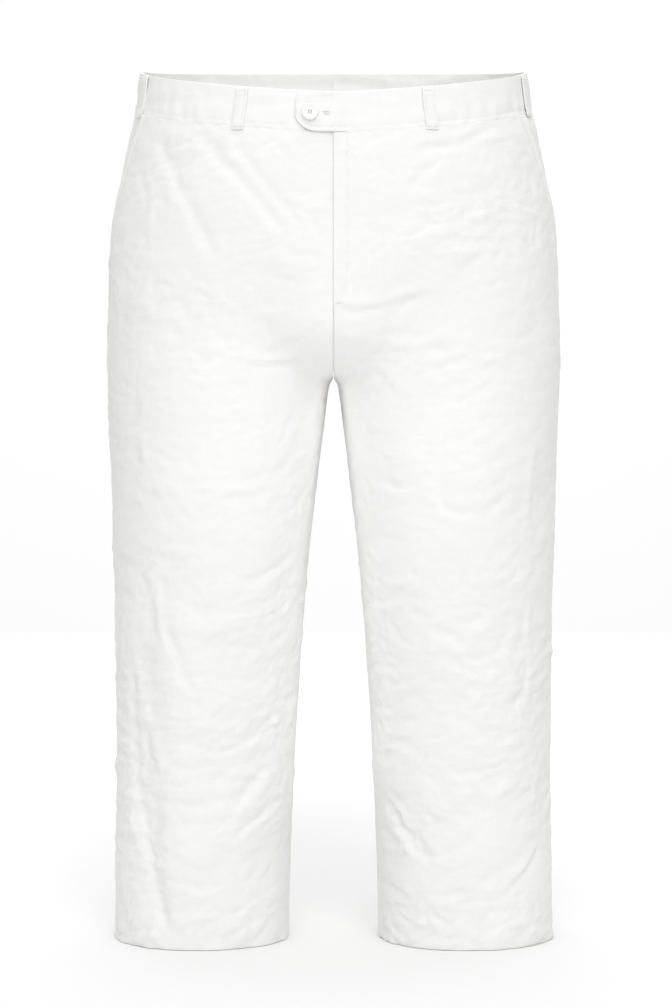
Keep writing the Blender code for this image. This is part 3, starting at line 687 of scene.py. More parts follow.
def shapeGrid(places, uvs, outward=None):
    # a grid of faces put where the table of places says
    rows, columns = places.shape[:2]
    shape = bmesh.new()
    bmesh.ops.create_grid(shape, x_segments=columns - 1, y_segments=rows - 1, size=1.0)
    corners = np.array([vert.co[:2] for vert in shape.verts])
    column = np.rint((corners[:, 0] + 1) / 2 * (columns - 1)).astype(int)
    row = np.rint((corners[:, 1] + 1) / 2 * (rows - 1)).astype(int)
    for vert, place in zip(shape.verts, places[row, column]):
        vert.co = place
    spots = uvs[row, column].tolist()
    layer = shape.loops.layers.uv.new("weave")
    for face in shape.faces:
        for loop in face.loops:
            loop[layer].uv = spots[loop.vert.index]
    if outward is not None:
        shape.normal_update()
        directions = outward[row, column]
        facing = sum(vert.normal.dot(Vector(directions[vert.index])) for vert in shape.verts)
        if facing < 0:
            bmesh.ops.reverse_faces(shape, faces=shape.faces[:])
    return shape


def addPiece(name, shape, finish, replaced=(), thickness=0.0):
    mesh = bpy.data.meshes.new(name)
    shape.to_mesh(mesh)
    shape.free()
    mesh.materials.append(finish)
    mesh.shade_smooth()
    piece = bpy.data.objects.new(name, mesh)
    bpy.context.scene.collection.objects.link(piece)
    if thickness:
        wall = piece.modifiers.new("wall", "SOLIDIFY")
        wall.thickness = thickness
        wall.offset = -1.0
    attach(piece, "root")
    if replaced:
        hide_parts(*replaced)
    return piece


class Signal:
    # a shader value that can be added, multiplied and so on
    def __init__(self, finish, socket):
        self.finish = finish
        self.socket = socket

    def combined(self, operation, first, second):
        return self.finish.add("ShaderNodeMath", {"operation": operation}, {0: first, 1: second})

    def __add__(self, other):
        return self.combined("ADD", self, other)

    def __radd__(self, other):
        return self.combined("ADD", other, self)

    def __sub__(self, other):
        return self.combined("SUBTRACT", self, other)

    def __rsub__(self, other):
        return self.combined("SUBTRACT", other, self)

    def __mul__(self, other):
        return self.combined("MULTIPLY", self, other)

    def __rmul__(self, other):
        return self.combined("MULTIPLY", other, self)

    def sine(self):
        return self.finish.add("ShaderNodeMath", {"operation": "SINE"}, {0: self})

    def clipped(self):
        return self.finish.add("ShaderNodeClamp", {}, {"Value": self})


class Finish:
    # a material, or the room's light, and the one way that nodes are added to it
    def __init__(self, holder, shader="Principled BSDF"):
        holder.use_nodes = True
        self.holder = holder
        self.tree = holder.node_tree
        self.shader = self.tree.nodes[shader]

    def add(self, kind, settings, sockets, output=0):
        node = self.tree.nodes.new(kind)
        for setting, value in settings.items():
            setattr(node, setting, value)
        for socket, value in sockets.items():
            self.feed(node.inputs[socket], value)
        return Signal(self, node.outputs[output])

    def feed(self, socket, value):
        if isinstance(value, Signal):
            self.tree.links.new(value.socket, socket)
        else:
            socket.default_value = value

    def paint(self, sockets):
        # sets the surface's own sockets
        for socket, value in sockets.items():
            self.feed(self.shader.inputs[socket], value)
        return self.holder

    def ownSpot(self):
        # a place in the piece's own metres
        return self.add("ShaderNodeTexCoord", {}, {}, 3)

    def stretched(self, spot, scale):
        return self.add("ShaderNodeMapping", {}, {"Vector": spot, "Scale": scale})

    def noise(self, vector, scale, detail=2.0):
        sockets = {"Vector": vector, "Scale": scale, "Detail": detail}
        return self.add("ShaderNodeTexNoise", {"noise_dimensions": "3D"}, sockets)

    def mixed(self, factor, low, high):
        # from the colour low to the colour high
        sockets = {"Factor": factor, "A": (*low, 1.0), "B": (*high, 1.0)}
        return self.add("ShaderNodeMix", {"data_type": "RGBA"}, sockets, 2)


def newFinish(name):
    return Finish(bpy.data.materials.new(name))


def clothFinish(name, colour, shade, weave):
    # a plain weave: fine threads both ways, with a few thicker ones, and a soft nap
    finish = newFinish(name)
    spot = finish.add("ShaderNodeUVMap", {"uv_map": "weave"}, {})
    across = finish.add("ShaderNodeSeparateXYZ", {}, {"Vector": spot}, 0)
    up = finish.add("ShaderNodeSeparateXYZ", {}, {"Vector": spot}, 1)
    pace = math.pi / weave["pitch"]
    crossing = (across * pace).sine() * (up * pace).sine()
    weft = finish.noise(finish.stretched(spot, (38.0, 900.0, 1.0)), 1.0)
    warp = finish.noise(finish.stretched(spot, (1000.0, 30.0, 1.0)), 1.0)
    cloud = finish.noise(finish.ownSpot(), 24.0, 3.0)
    mottle = (weft * 0.55 + warp * 0.45 + cloud * 0.5 - 0.25).clipped()
    height = crossing * 0.35 + weft * weave["slub"] + warp * weave["slub"]
    sockets = {"Strength": weave["strength"], "Distance": weave["depth"], "Height": height}
    return finish.paint({
        "Base Color": finish.mixed(mottle, shade, colour),
        "Roughness": 0.92 - mottle * 0.12,
        "Normal": finish.add("ShaderNodeBump", {}, sockets),
        "Sheen Weight": 0.10,
        "Sheen Roughness": 0.6,
        "Specular IOR Level": 0.25,
    })


weaveSizes = {"pitch": 0.00072, "slub": 0.9, "strength": 0.35, "depth": 0.00022}
tapeWeave = {"pitch": 0.0009, "slub": 0.5, "strength": 0.5, "depth": 0.0003}
clothColours = ((0.826, 0.824, 0.811), (0.782, 0.780, 0.767))
whiteCloth = clothFinish("whiteCloth", *clothColours, weaveSizes)
bandCloth = clothFinish("bandCloth", *clothColours, weaveSizes)
tapeCloth = clothFinish("tapeCloth", (0.83, 0.82, 0.80), (0.76, 0.75, 0.73), tapeWeave)
print("finishes made")


flySizes = {
    # the stitched line beside the fly, across and up in mm
    "line": [
        (13.5, -51), (13.6, -100), (13.4, -160), (12.6, -182), (9.8, -200), (5.0, -210),
        (1.5, -213),
    ],
    "lineStep": 0.0012,
    "groove": 0.00085,
    "grooveWidth": 0.0017,
    "puckerStep": 0.0065,
    "puckerLength": 0.03,
    "puckerFoot": -0.212,
}
flyPath = smoothPath(np.array(flySizes["line"]) * 0.001, flySizes["lineStep"])


def flyHeights(places):
    # the groove of the fly's stitched line and the small level puckers inside it
    sizes = flySizes
    x, z = places[..., 0], places[..., 2]
    away = np.full(x.shape, 1.0)
    for pathX, pathZ in flyPath:
        away = np.minimum(away, np.hypot(x - pathX, z - pathZ))
    edge = np.interp(-z, -flyPath[:, 1], flyPath[:, 0])
    inside = easeCurve(x / 0.003) * easeCurve((edge - x) / 0.002)
    inside = inside * easeCurve((z - sizes["puckerFoot"]) / 0.01)
    pucker = latticeNoise(z / sizes["puckerStep"], x / sizes["puckerLength"], 17)
    groove = sizes["groove"] * bellCurve(away, sizes["grooveWidth"])
    return crumpleSizes["flyPucker"] * pucker * inside - groove


def addPanel(name, shape):
    thickness = garment["clothThickness"]
    addPiece(name + "_cloth", shape, whiteCloth, [name], thickness)
    print("cloth made:", name)


def makePanel(side, lead):
    sizes = panelSizes
    name = panelName(side, lead)
    rows = panelLevels()
    levels, tucks, sinks = rows[:, 0], rows[:, 1], rows[:, 2]
    start = np.zeros(len(levels))
    end = pocketTurn(levels) if lead < 0 else np.ones(len(levels))
    turnTable, lengths, beyond = layOut(levels, lead, start, end)
    whole = lengths[:, -1]
    curl = np.array(sizes["curl"])
    flange = np.array(sizes["seamFlange"])
    # columns keep their distance from the side seam where the rows' length changes fast, and
    # only those nearest the inner edge take up the change
    share = 1.0 - np.linspace(0.0, 1.0, sizes["columns"] - 2 * len(curl) + 2)[1:-1][None, :]
    free = (whole - 2 * curl[-1])[:, None]
    even = evenOut(free[:, 0], sizes["evenRows"])[:, None]
    keep = sizes["evenShare"]
    inner = keep * even + (share - keep) / (1 - keep) * (free - keep * even)
    beside = np.where(share < keep, share * even, inner)
    middle = curl[-1] + free - beside
    zeros = np.zeros((len(levels), len(flange)))
    begin = np.broadcast_to(curl, (len(levels), len(curl)))
    finishEdge = whole[:, None] - curl[::-1][None, :]
    arc = np.hstack([zeros, begin, middle, finishEdge, zeros + whole[:, None]])
    turn = turnsAt(turnTable, lengths, arc)
    z, base, outward = rowPlaces(levels, turn, side)
    fromStart = arc
    fromEnd = whole[:, None] - arc

    # what each edge is: a seam, the fly's lap, or the pocket's mouth
    onFly = np.zeros(len(levels))
    onMouth = np.zeros(len(levels))
    mouthRise = np.zeros(len(levels))
    if lead < 0:
        mouthRise = easeCurve((1.0 - end) / sizes["mouthFade"])
        onFly = easeCurve((z[:, 0] - sizes["flyFoot"] + sizes["flyFade"] / 2) / sizes["flyFade"])
        onMouth = easeCurve((1.0 - end) / sizes["mouthClose"])
    startSeam = fromStart + onFly[:, None] * sizes["flySeamFree"]
    fromSeam = np.minimum(startSeam, fromEnd + onMouth[:, None] * sizes["mouthSeamFree"])
    fromTop = (levels[0] - levels)[:, None] + 0.0 * arc
    fromSeam = np.minimum(fromSeam, np.maximum(fromTop, 0.0) + 0.001)
    world = mirrored(base, side)
    worldOutward = mirrored(outward, side)
    fromSide = fromEnd + beyond[:, None]
    heights = clothHeights(world, worldOutward, side * fromSide, lead, side, fromSeam, fromTop)

    lift = heights - sinks[:, None]
    lift -= curlDepth(fromTop, sizes["topRadius"])
    startCurl = curlDepth(fromStart, sizes["curlRadius"]) * (1 - onFly)[:, None]
    endCurl = curlDepth(fromEnd, sizes["curlRadius"]) * (1 - onMouth)[:, None]
    lift -= startCurl + endCurl
    mouthGroove = bellCurve(fromEnd - sizes["mouthInset"], sizes["mouthGrooveWidth"])
    lift += sizes["mouthLift"] * mouthRise[:, None] * bellCurve(fromEnd, sizes["mouthReach"])
    lift -= sizes["mouthGroove"] * mouthRise[:, None] * mouthGroove
    if side > 0:
        lapped = 1 - easeCurve((fromStart - sizes["flyLiftReach"]) / sizes["flyLiftFade"])
        lift += sizes["flyLift"] * onFly[:, None] * lapped
        if lead < 0:
            lift += flyHeights(world)
    stitchLevel = garment["hem"] + sizes["hemStitch"]
    lift -= sizes["hemStitchDepth"] * bellCurve(z - stitchLevel, sizes["hemStitchWidth"])
    place = base + outward * lift[..., None]

    # the seam allowances run inwards, but the right front runs on under the fly's lap
    count = len(flange)
    depths = np.zeros(arc.shape)
    depths[:, :count] = flange[::-1]
    depths[:, -count:] = flange
    inwards = np.where((depths > 0.0)[..., None], -outward, 0.0)
    if lead < 0:
        along = unitVectors(base[:, count + 4] - base[:, count])
        if side < 0:
            lap = np.array(sizes["flyUnderlap"])[::-1]
            under = -along[:, None, :] * lap[None, :, None]
            seam = inwards[:, :count] * depths[:, :count, None]
            lapped = onFly[:, None, None]
            place[:, :count] += seam * (1 - lapped) + under * lapped
        else:
            depths[:, :count] *= (1 - (1 - sizes["lappedShare"]) * onFly)[:, None]
            place[:, :count] += inwards[:, :count] * depths[:, :count, None]
        depths[:, -count:] *= (1 - (1 - sizes["lappedShare"]) * onMouth)[:, None]
    else:
        place[:, :count] += inwards[:, :count] * depths[:, :count, None]
    place[:, -count:] += inwards[:, -count:] * depths[:, -count:, None]

    # the top edge turns in under the waistband
    place -= outward * tucks[:, None, None]

    # each panel keeps to its own side of the seams
    gap = garment["seamGap"]
    sideY = readForm(place[..., 2])[4]
    seamRows = ((onFly < 0.5) | (side > 0))[:, None]
    place[..., 0] = np.where(seamRows, np.maximum(place[..., 0], gap), place[..., 0])
    place[..., 1] = sideY + lead * np.maximum(lead * (place[..., 1] - sideY), gap)
    place[..., 0] *= side
    uvs = np.stack([side * fromSide, levels[:, None] + 0.0 * arc], axis=-1)
    uvs[..., 1] = np.where(sinks[:, None] > 0.0, 2 * garment["hem"] - uvs[..., 1], uvs[..., 1])
    facing = np.where(sinks > sizes["hemRadius"], -1.0, 1.0)[:, None, None]
    addPanel(name, shapeGrid(place, uvs, worldOutward * facing))
    usable = (fromTop > sizes["usableFrom"]) & (sinks[:, None] == 0.0)
    return {
        "place": place, "outward": worldOutward, "arc": arc, "whole": whole,
        "levels": levels, "sinks": sinks, "onMouth": onMouth, "usable": usable[:, count:-count],
    }


panels = {}
for panelSide in (1, -1):
    for panelLead in (-1, 1):
        panels[panelName(panelSide, panelLead)] = makePanel(panelSide, panelLead)

facingSizes = {
    "under": 0.05,            # how far round it runs on under the front
    "flat": 0.06,             # over this much turn it comes up to the front's level
    "sunk": 0.0022,
    "tail": 0.012,
    "columns": 34,
    "rowStep": 0.0025,
}


def makeFacing(side):
    # the piece of the hip that the slanting pocket mouth leaves bare
    sizes = facingSizes
    name = "pocket_facing_" + ("left" if side > 0 else "right")
    top = garment["rimSide"] - garment["bandHeight"] + garment["seamLap"]
    foot = garment["pocketFoot"] - sizes["tail"]
    curl = np.array(panelSizes["curl"])
    flange = np.array(panelSizes["seamFlange"])
    count = int((top - foot) / sizes["rowStep"])
    below = np.concatenate([panelSizes["topCurl"], np.linspace(0.004, top - foot, count)])
    tucks = np.concatenate([panelSizes["topTuck"], np.zeros(len(below))])
    levels = top - np.concatenate([np.zeros(len(panelSizes["topTuck"])), below])
    edge = pocketTurn(levels)
    turnTable, lengths = layOut(levels, -1, edge - sizes["under"], np.ones(len(levels)))[:2]
    whole = lengths[:, -1]
    inner = np.linspace(0.0, 1.0, sizes["columns"])
    middle = (whole[:, None] - curl[-1]) * inner[None, :]
    close = whole[:, None] - curl[-2::-1][None, :]
    arc = np.hstack([middle, close, np.zeros((len(levels), len(flange))) + whole[:, None]])
    turn = turnsAt(turnTable, lengths, arc)
    base, outward = rowPlaces(levels, turn, side)[1:]
    fromSide = whole[:, None] - arc
    fromTop = (levels[0] - levels)[:, None] + 0.0 * arc
    world = mirrored(base, side)
    worldOutward = mirrored(outward, side)
    fromSeam = np.minimum(fromSide, fromTop + 0.001)
    lift = clothHeights(world, worldOutward, side * fromSide, -1, side, fromSeam, fromTop)
    lift -= sizes["sunk"] * (1 - easeCurve((turn - edge[:, None]) / sizes["flat"]))
    topCurl = curlDepth(fromTop, panelSizes["topRadius"])
    lift -= topCurl + curlDepth(fromSide, panelSizes["curlRadius"])
    lift -= tucks[:, None]
    depths = np.zeros(arc.shape)
    depths[:, -len(flange):] = flange
    place = base + outward * (lift - depths)[..., None]
    sideY = readForm(place[..., 2])[4]
    place[..., 1] = np.minimum(place[..., 1], sideY - garment["seamGap"])
    place[..., 0] *= side
    uvs = np.stack([side * fromSide, levels[:, None] + 0.0 * arc], axis=-1)
    addPanel(name, shapeGrid(place, uvs, worldOutward))


for facingSide in (1, -1):
    makeFacing(facingSide)


def shapeLoop(places, uvs):
    # a closed wall from stations that each go once round its section, pinched shut at its ends
    places, uvs = (np.concatenate([table, table[:, :1]], axis=1) for table in (places, uvs))
    shape = shapeGrid(places, uvs)
    bmesh.ops.remove_doubles(shape, verts=shape.verts[:], dist=3e-6)
    bmesh.ops.recalc_face_normals(shape, faces=shape.faces[:])
    return shape


def wallSection(thickness, height, faces, radius):
    # the section of a flat wall with rounded edges: depth behind the outer face, and drop
    corner = np.linspace(0.0, math.pi / 2, 4)
    face = np.linspace(radius, height - radius, faces)
    depth = np.concatenate([
        np.zeros(faces), radius - radius * np.cos(corner[1:]),
        thickness - radius + radius * np.sin(corner[:-1]), np.full(faces, thickness),
        thickness - radius + radius * np.cos(corner[1:]), radius - radius * np.sin(corner[:-1]),
    ])
    drop = np.concatenate([
        face, height - radius + radius * np.sin(corner[1:]),
        height - radius + radius * np.cos(corner[:-1]), face[::-1],
        radius - radius * np.sin(corner[1:]), radius - radius * np.cos(corner[:-1]),
    ])
    return depth, drop


bandSizes = {
    "thickness": 0.0026,
    "edgeRadius": 0.0003,
    "faceRows": 26,
    "step": 0.0026,
    "tabReach": 0.035,
    "tabHeight": 0.0375,
    "tabLowerRadius": 0.018,
    "tabUpperRadius": 0.011,
    "tabColumns": 40,
    "tabLift": 0.0031,
    "riseStart": 0.016,
    "pinch": 0.0010,
    "backPinch": 0.000002,
    "backGap": 0.00001,
    "backEnds": (0.9985, 0.9995, 0.99985, 0.99997, 0.999995, 1.0),
    "ripple": 0.0007,
    "rippleAcross": 0.046,
    "rippleUp": 0.012,
    "pucker": 0.00125,
    "puckerAcross": 0.0090,
    "puckerUp": 0.026,
    "stitchAbove": 0.0050,    # from the waist seam up to the row of stitches
    "stitchDepth": 0.00035,
    "stitchWidth": 0.0016,
    "turnLength": 0.27,       # about how far one unit of turn runs
    "halfLength": 0.545,
}


def bandSection(turns, sides, lifts, above, below, pinches, seed):
    # the waistband's wall at each station: where its upper and lower edges lie below the rim
    sizes = bandSizes
    tall = garment["bandHeight"]
    depth, drop = wallSection(sizes["thickness"], tall, sizes["faceRows"], sizes["edgeRadius"])
    share = drop / tall
    level = rimHeight(turns)[:, None] - above[:, None] - share[None, :] * (below - above)[:, None]
    turn = turns[:, None] + 0.0 * level
    base = smoothPoints(turn, level)
    outward = outwardVectors(turn, level)
    half = sizes["thickness"] / 2
    behind = half + (depth[None, :] - half) * pinches[:, None]
    top = base[:, 0].copy()
    top[:, 0] *= sides
    along = lengthsAlong(top)[:, None]
    ripple = latticeNoise(along / sizes["rippleAcross"], level / sizes["rippleUp"], seed)
    ripple = sizes["ripple"] * ripple * (4 * share * (1 - share))[None, :]
    slanted = level + 0.4 * along
    pucker = latticeNoise(along / sizes["puckerAcross"], slanted / sizes["puckerUp"], seed + 2)
    puckered = easeCurve(share / 0.2) * (0.35 + 0.65 * easeCurve((share - 0.35) / 0.5))
    ripple += sizes["pucker"] * pucker * (puckered * easeCurve((1 - share) / 0.07))[None, :]
    fromStitches = drop - tall + sizes["stitchAbove"]
    onFace = (depth < half)[None, :]
    stitched = bellCurve(fromStitches, sizes["stitchWidth"])[None, :]
    ripple -= sizes["stitchDepth"] * onFace * stitched
    wave = seamWave(sides, turns)
    level = level + wave[:, None] * easeCurve((share - 0.55) / 0.45)[None, :]
    base[..., 2] = level
    place = base + outward * (lifts[:, None] - behind + ripple)[..., None]
    place[..., 0] *= sides[:, None]
    outward[..., 0] *= sides[:, None]
    uvs = np.stack([along + 0.0 * level, level], axis=-1)
    return place, uvs, outward


def pinchedEnds(fromFront, turns):
    # each half is pinched shut at its front end and, in a much shorter run, at the centre back
    fromBack = (2.0 - turns) * bandSizes["turnLength"]
    sharp = bandSizes["pinch"] / bandSizes["backPinch"]
    return np.minimum(pinchNear(fromFront), pinchNear(fromBack * sharp))


def bandRow(places, outward, keep):
    # the line on the band's outer face where its lower row of stitches lies
    sizes = bandSizes
    radius = sizes["edgeRadius"]
    drop = garment["bandHeight"] - sizes["stitchAbove"] - radius
    rows = drop / (garment["bandHeight"] - 2 * radius) * (sizes["faceRows"] - 1)
    low = int(rows)
    line = places[:, low] + (places[:, low + 1] - places[:, low]) * (rows - low)
    return line[keep], outward[keep, low]


def tabCorner(reach, radius):
    past = np.maximum(reach - (bandSizes["tabReach"] - radius), 0.0)
    return radius - np.sqrt(np.maximum(radius * radius - past * past, 0.0))


def pinchNear(distance, reach=bandSizes["pinch"]):
    # 0 at an end, where the two faces meet, and 1 a little way in
    left = np.clip(1 - distance / reach, 0.0, 1.0)
    return np.sqrt(np.maximum(1 - left * left, 0.0))


def addBandPiece(name, ending, shape):
    addPiece(f"{name}_{ending}", shape, bandCloth, [name])


def makeLeftBand():
    # the half with the tab, which lies on the other half past the centre front
    sizes = bandSizes
    steps = np.arange(sizes["tabColumns"]) / sizes["tabColumns"]
    reach = sizes["tabReach"] * np.sin(math.pi / 2 * (1 - steps))
    tabTurns = frontTurn(reach, garment["rimSide"])
    count = int(sizes["halfLength"] / sizes["step"])
    rest = 2.0 * np.concatenate([np.linspace(0.0, 1.0, count)[:-1], sizes["backEnds"]])
    turns = np.concatenate([tabTurns, rest])
    sides = np.concatenate([np.full(len(reach), -1.0), np.ones(len(rest))])
    x = smoothPoints(rest, rimHeight(rest))[:, 0]
    rise = np.where(rest < 1.0, 1 - easeCurve(x / sizes["riseStart"]), 0.0)
    lifts = np.concatenate([np.full(len(reach), sizes["tabLift"]), sizes["tabLift"] * rise])
    above = np.concatenate([tabCorner(reach, sizes["tabUpperRadius"]), np.zeros(len(rest))])
    below = np.concatenate([
        sizes["tabHeight"] - tabCorner(reach, sizes["tabLowerRadius"]),
        sizes["tabHeight"] + (garment["bandHeight"] - sizes["tabHeight"]) * easeCurve(rest / 0.05),
    ])
    fromFront = np.where(sides < 0, sizes["tabReach"] - np.concatenate([reach, 0 * rest]), 1.0)
    pinches = pinchedEnds(fromFront, turns)
    place, uvs, outward = bandSection(turns, sides, lifts, above, below, pinches, 71)
    atBack = np.maximum(place[:, :, 0], sizes["backGap"])
    place[:, :, 0] = np.where(turns[:, None] >= 1.9, atBack, place[:, :, 0])
    addBandPiece("waistband_left", "cloth", shapeLoop(place, uvs))
    return bandRow(place, outward, (sides > 0) & (turns < 1.99))


def makeRightBand():
    sizes = bandSizes
    count = int(sizes["halfLength"] / sizes["step"])
    ends = np.array([0.0, 0.0003, 0.0008, 0.0015])
    turns = 2.0 * np.concatenate([ends, np.linspace(0.004, 0.996, count), sizes["backEnds"]])
    sides = np.full(len(turns), -1.0)
    zeros = np.zeros(len(turns))
    pinches = pinchedEnds(turns * sizes["turnLength"], turns)
    below = zeros + garment["bandHeight"]
    place, uvs, outward = bandSection(turns, sides, zeros, zeros, below, pinches, 83)
    place[:, :, 0] = np.minimum(place[:, :, 0], -sizes["backGap"])
    addBandPiece("waistband_right", "cloth", shapeLoop(place, uvs))
    return bandRow(place, outward, (turns > 0.12) & (turns < 1.99))


bandRows = [makeLeftBand(), makeRightBand()]
print("waistband made")

loopSizes = {
    "width": 0.0115,
    "cutWidth": 0.0255,       # folded in from both sides
    "cutLength": 0.0410,
    "thickness": 0.0016,
    "top": 0.0012,
    "foot": 0.0032,
    "close": -0.0003,         # the ends lie this far off the smooth waistband
    "stand": 0.0006,
    "rows": 30,
    "acrossFaces": 7,
    "edgeRadius": 0.0007,
    "endRound": 0.0012,       # each end is closed over this length
    "hem": 0.0070,            # the folded-under ends are this long
    "hemLift": 0.0005,
    "hemFade": 0.0015,
    "stitchInset": 0.0022,    # from the loop's edge to its row of stitches
    "stitchSink": 0.0003, "stitchWidth": 0.0009,
    "stitchLength": 0.0021, "stitchGap": 0.0008,
    "tackBeads": 14, "tackStep": 0.00062, "tackLength": 0.0018, "tackRadius": 0.00028,
}

# each loop's side, and where round the body its top and its foot lie
loopPlaces = {
    "belt_loop_front_left": (1, 0.270, 0.273),
    "belt_loop_front_right": (-1, 0.258, 0.264),
    "belt_loop_side_left": (1, 0.805, 0.815),
    "belt_loop_side_right": (-1, 0.775, 0.785),
    "belt_loop_back_left": (1, 1.440, 1.436),
    "belt_loop_back_right": (-1, 1.440, 1.436),
    "belt_loop_back_centre": (1, 2.0, 2.0),
}

stitchSizes = {
    "length": 0.0026, "gap": 0.0009, "radius": 0.00022, "flat": 0.75,
    "lift": 0.35,             # how far the thread's middle stands off, as a share of its radius
    "thick": 0.00028,         # a bar tack's thread
    "holeThick": 0.00030,     # a buttonhole's
}


def sewBead(shape, middle, run, outward, length, radius):
    # one stitch: a small flattened bead that lies along the run
    run = unitVectors(run)
    aside = unitVectors(np.cross(outward, run))
    outward = np.cross(run, aside)
    flat = radius * stitchSizes["flat"]
    matrix = Matrix([
        [run[axis] * length / 2, aside[axis] * radius, outward[axis] * flat, middle[axis]]
        for axis in range(3)
    ] + [[0.0, 0.0, 0.0, 1.0]])
    bmesh.ops.create_icosphere(shape, subdivisions=1, radius=1.0, matrix=matrix)


def readAlong(travel, values, spot):
    # what a table of values says at a spot along it
    return np.array([np.interp(spot, travel, values[:, axis]) for axis in range(3)])


def sewLine(shape, line, outward, length=None, gap=None):
    # a row of stitches along a line of places
    length = length or stitchSizes["length"]
    gap = gap or stitchSizes["gap"]
    radius = stitchSizes["radius"]
    travel = lengthsAlong(line)
    count = max(1, int(travel[-1] / (length + gap)))
    for index in range(count):
        start = (index + 0.5) * travel[-1] / count
        before, spot, after = (
            readAlong(travel, line, start + shift) for shift in (-length / 2, 0.0, length / 2)
        )
        facing = readAlong(travel, outward, start)
        middle = spot + facing * radius * stitchSizes["lift"]
        sewBead(shape, middle, after - before, facing, length, radius)


def loopStation(name, along, across):
    # a place on the smooth waistband under a loop: its middle line and the direction across it
    side, topTurn, footTurn = loopPlaces[name]
    turn = footTurn + (topTurn - footTurn) * along
    top = rimHeight(turn) - loopSizes["top"]
    foot = rimHeight(turn) - garment["bandHeight"] - loopSizes["foot"]
    z = foot + (top - foot) * along
    if name.endswith("centre"):
        back = smoothPoints(2.0, z)
        outward = np.zeros(back.shape)
        outward[..., 1] = 1.0
        flat = [across + 0.0 * back[..., 0], back[..., 1], z + 0.0 * across]
        return np.stack(flat, axis=-1), outward
    centre = smoothPoints(turn, z)
    small = garment["slopeStep"]
    step = np.linalg.norm(smoothPoints(turn + small, z) - centre, axis=-1)
    turn = turn + across * small / step
    point = smoothPoints(turn, z)
    outward = outwardVectors(turn, z)
    return mirrored(point, side), mirrored(outward, side)


def loopRise(along, length):
    # how far a loop's underside stands off the smooth waistband, folded ends and all
    sizes = loopSizes
    fromEnd = np.minimum(along, 1 - along) * length
    stand = sizes["close"] + sizes["stand"] * np.sin(math.pi * along) ** 0.7
    return stand + sizes["hemLift"] * (1 - easeCurve((fromEnd - sizes["hem"]) / sizes["hemFade"]))


def makeLoop(name, stitches):
    sizes = loopSizes
    thickness, width = sizes["thickness"], sizes["width"]
    depth, drop = wallSection(thickness, width, sizes["acrossFaces"], sizes["edgeRadius"])
    length = garment["bandHeight"] + sizes["foot"] - sizes["top"]
    ends = np.array([0.0, 0.0002, 0.0006, 0.0012]) / length
    along = np.concatenate([ends, np.linspace(0.05, 0.95, sizes["rows"]), 1 - ends[::-1]])
    fromEnd = np.minimum(along, 1 - along) * length
    across = np.broadcast_to(drop - width / 2, (len(along), len(drop)))
    spread = np.broadcast_to(along[:, None], across.shape)
    base, outward = loopStation(name, spread, across)
    pinch = pinchNear(fromEnd, sizes["endRound"])
    raised = thickness / 2 + (thickness / 2 - depth[None, :]) * pinch[:, None]
    fromStitches = width / 2 - np.abs(across) - sizes["stitchInset"]
    onFace = (depth < thickness / 2)[None, :]
    sunk = sizes["stitchSink"] * bellCurve(fromStitches, sizes["stitchWidth"]) * onFace
    place = base + outward * (loopRise(along, length)[:, None] + raised - sunk)[..., None]
    uvs = np.stack([across, spread * length], axis=-1)
    addBandPiece(name, "strap", shapeLoop(place, uvs))
    for shift in (-1, 1):
        share = np.linspace(0.05, 0.95, 40)
        aside = np.full(40, shift * (width / 2 - sizes["stitchInset"]))
        line, facing = loopStation(name, share, aside)
        line = line + facing * (loopRise(share, length) + thickness)[:, None]
        sewLine(stitches, line, facing, sizes["stitchLength"], sizes["stitchGap"])
    for share in (0.075, 0.925):
        for bead in range(sizes["tackBeads"]):
            shift = np.array([(bead - (sizes["tackBeads"] - 1) / 2) * sizes["tackStep"]])
            middle, facing = loopStation(name, np.array([share]), shift)
            upper = loopStation(name, np.array([share + 0.02]), shift)[0]
            spot = middle[0] + facing[0] * (loopRise(share, length) + thickness)
            run = upper[0] - middle[0]
            sewBead(stitches, spot, run, facing[0], sizes["tackLength"], sizes["tackRadius"])


loopStitches = bmesh.new()
for name in loopPlaces:
    makeLoop(name, loopStitches)
print("belt loops made")


def threadFinish(name, colour):
    finish = newFinish(name)
    fibres = finish.noise(finish.ownSpot(), 2600.0)
    return finish.paint({
        "Base Color": finish.mixed(fibres, [part * 0.94 for part in colour], colour),
        "Roughness": 0.75 - fibres * 0.2,
        "Sheen Weight": 0.2,
    })


thread = threadFinish("whiteThread", (0.82, 0.818, 0.805))
addPiece("belt_loop_stitching", loopStitches, thread)


def onPanel(panel, xs, zs):
    # places on the finished cloth of one panel, seen at x and z from its own side
    places = panel["place"][:, 3:-3].reshape(-1, 3)
    outward = panel["outward"][:, 3:-3].reshape(-1, 3)
    found = []
    facing = []
    usable = panel["usable"].reshape(-1)
    for x, z in zip(xs, zs):
        away = np.hypot(places[:, 0] - x, places[:, 2] - z) + np.where(usable, 0.0, 1.0)
        nearest = np.argpartition(away, 4)[:4]
        weights = 1.0 / (away[nearest] + 1e-5)
        weights /= weights.sum()
        found.append(weights @ places[nearest])
        facing.append(weights @ outward[nearest])
    return np.array(found), unitVectors(np.array(facing))


sewingSizes = {
    "tackBeads": 12, "tackStart": 0.0030, "tackStep": 0.0006, "tackHeight": -0.2095,
    "tackLength": 0.0024, "tackLift": 0.0002,
    "tabInset": 0.0042,
    "tabStep": 0.0009,
}

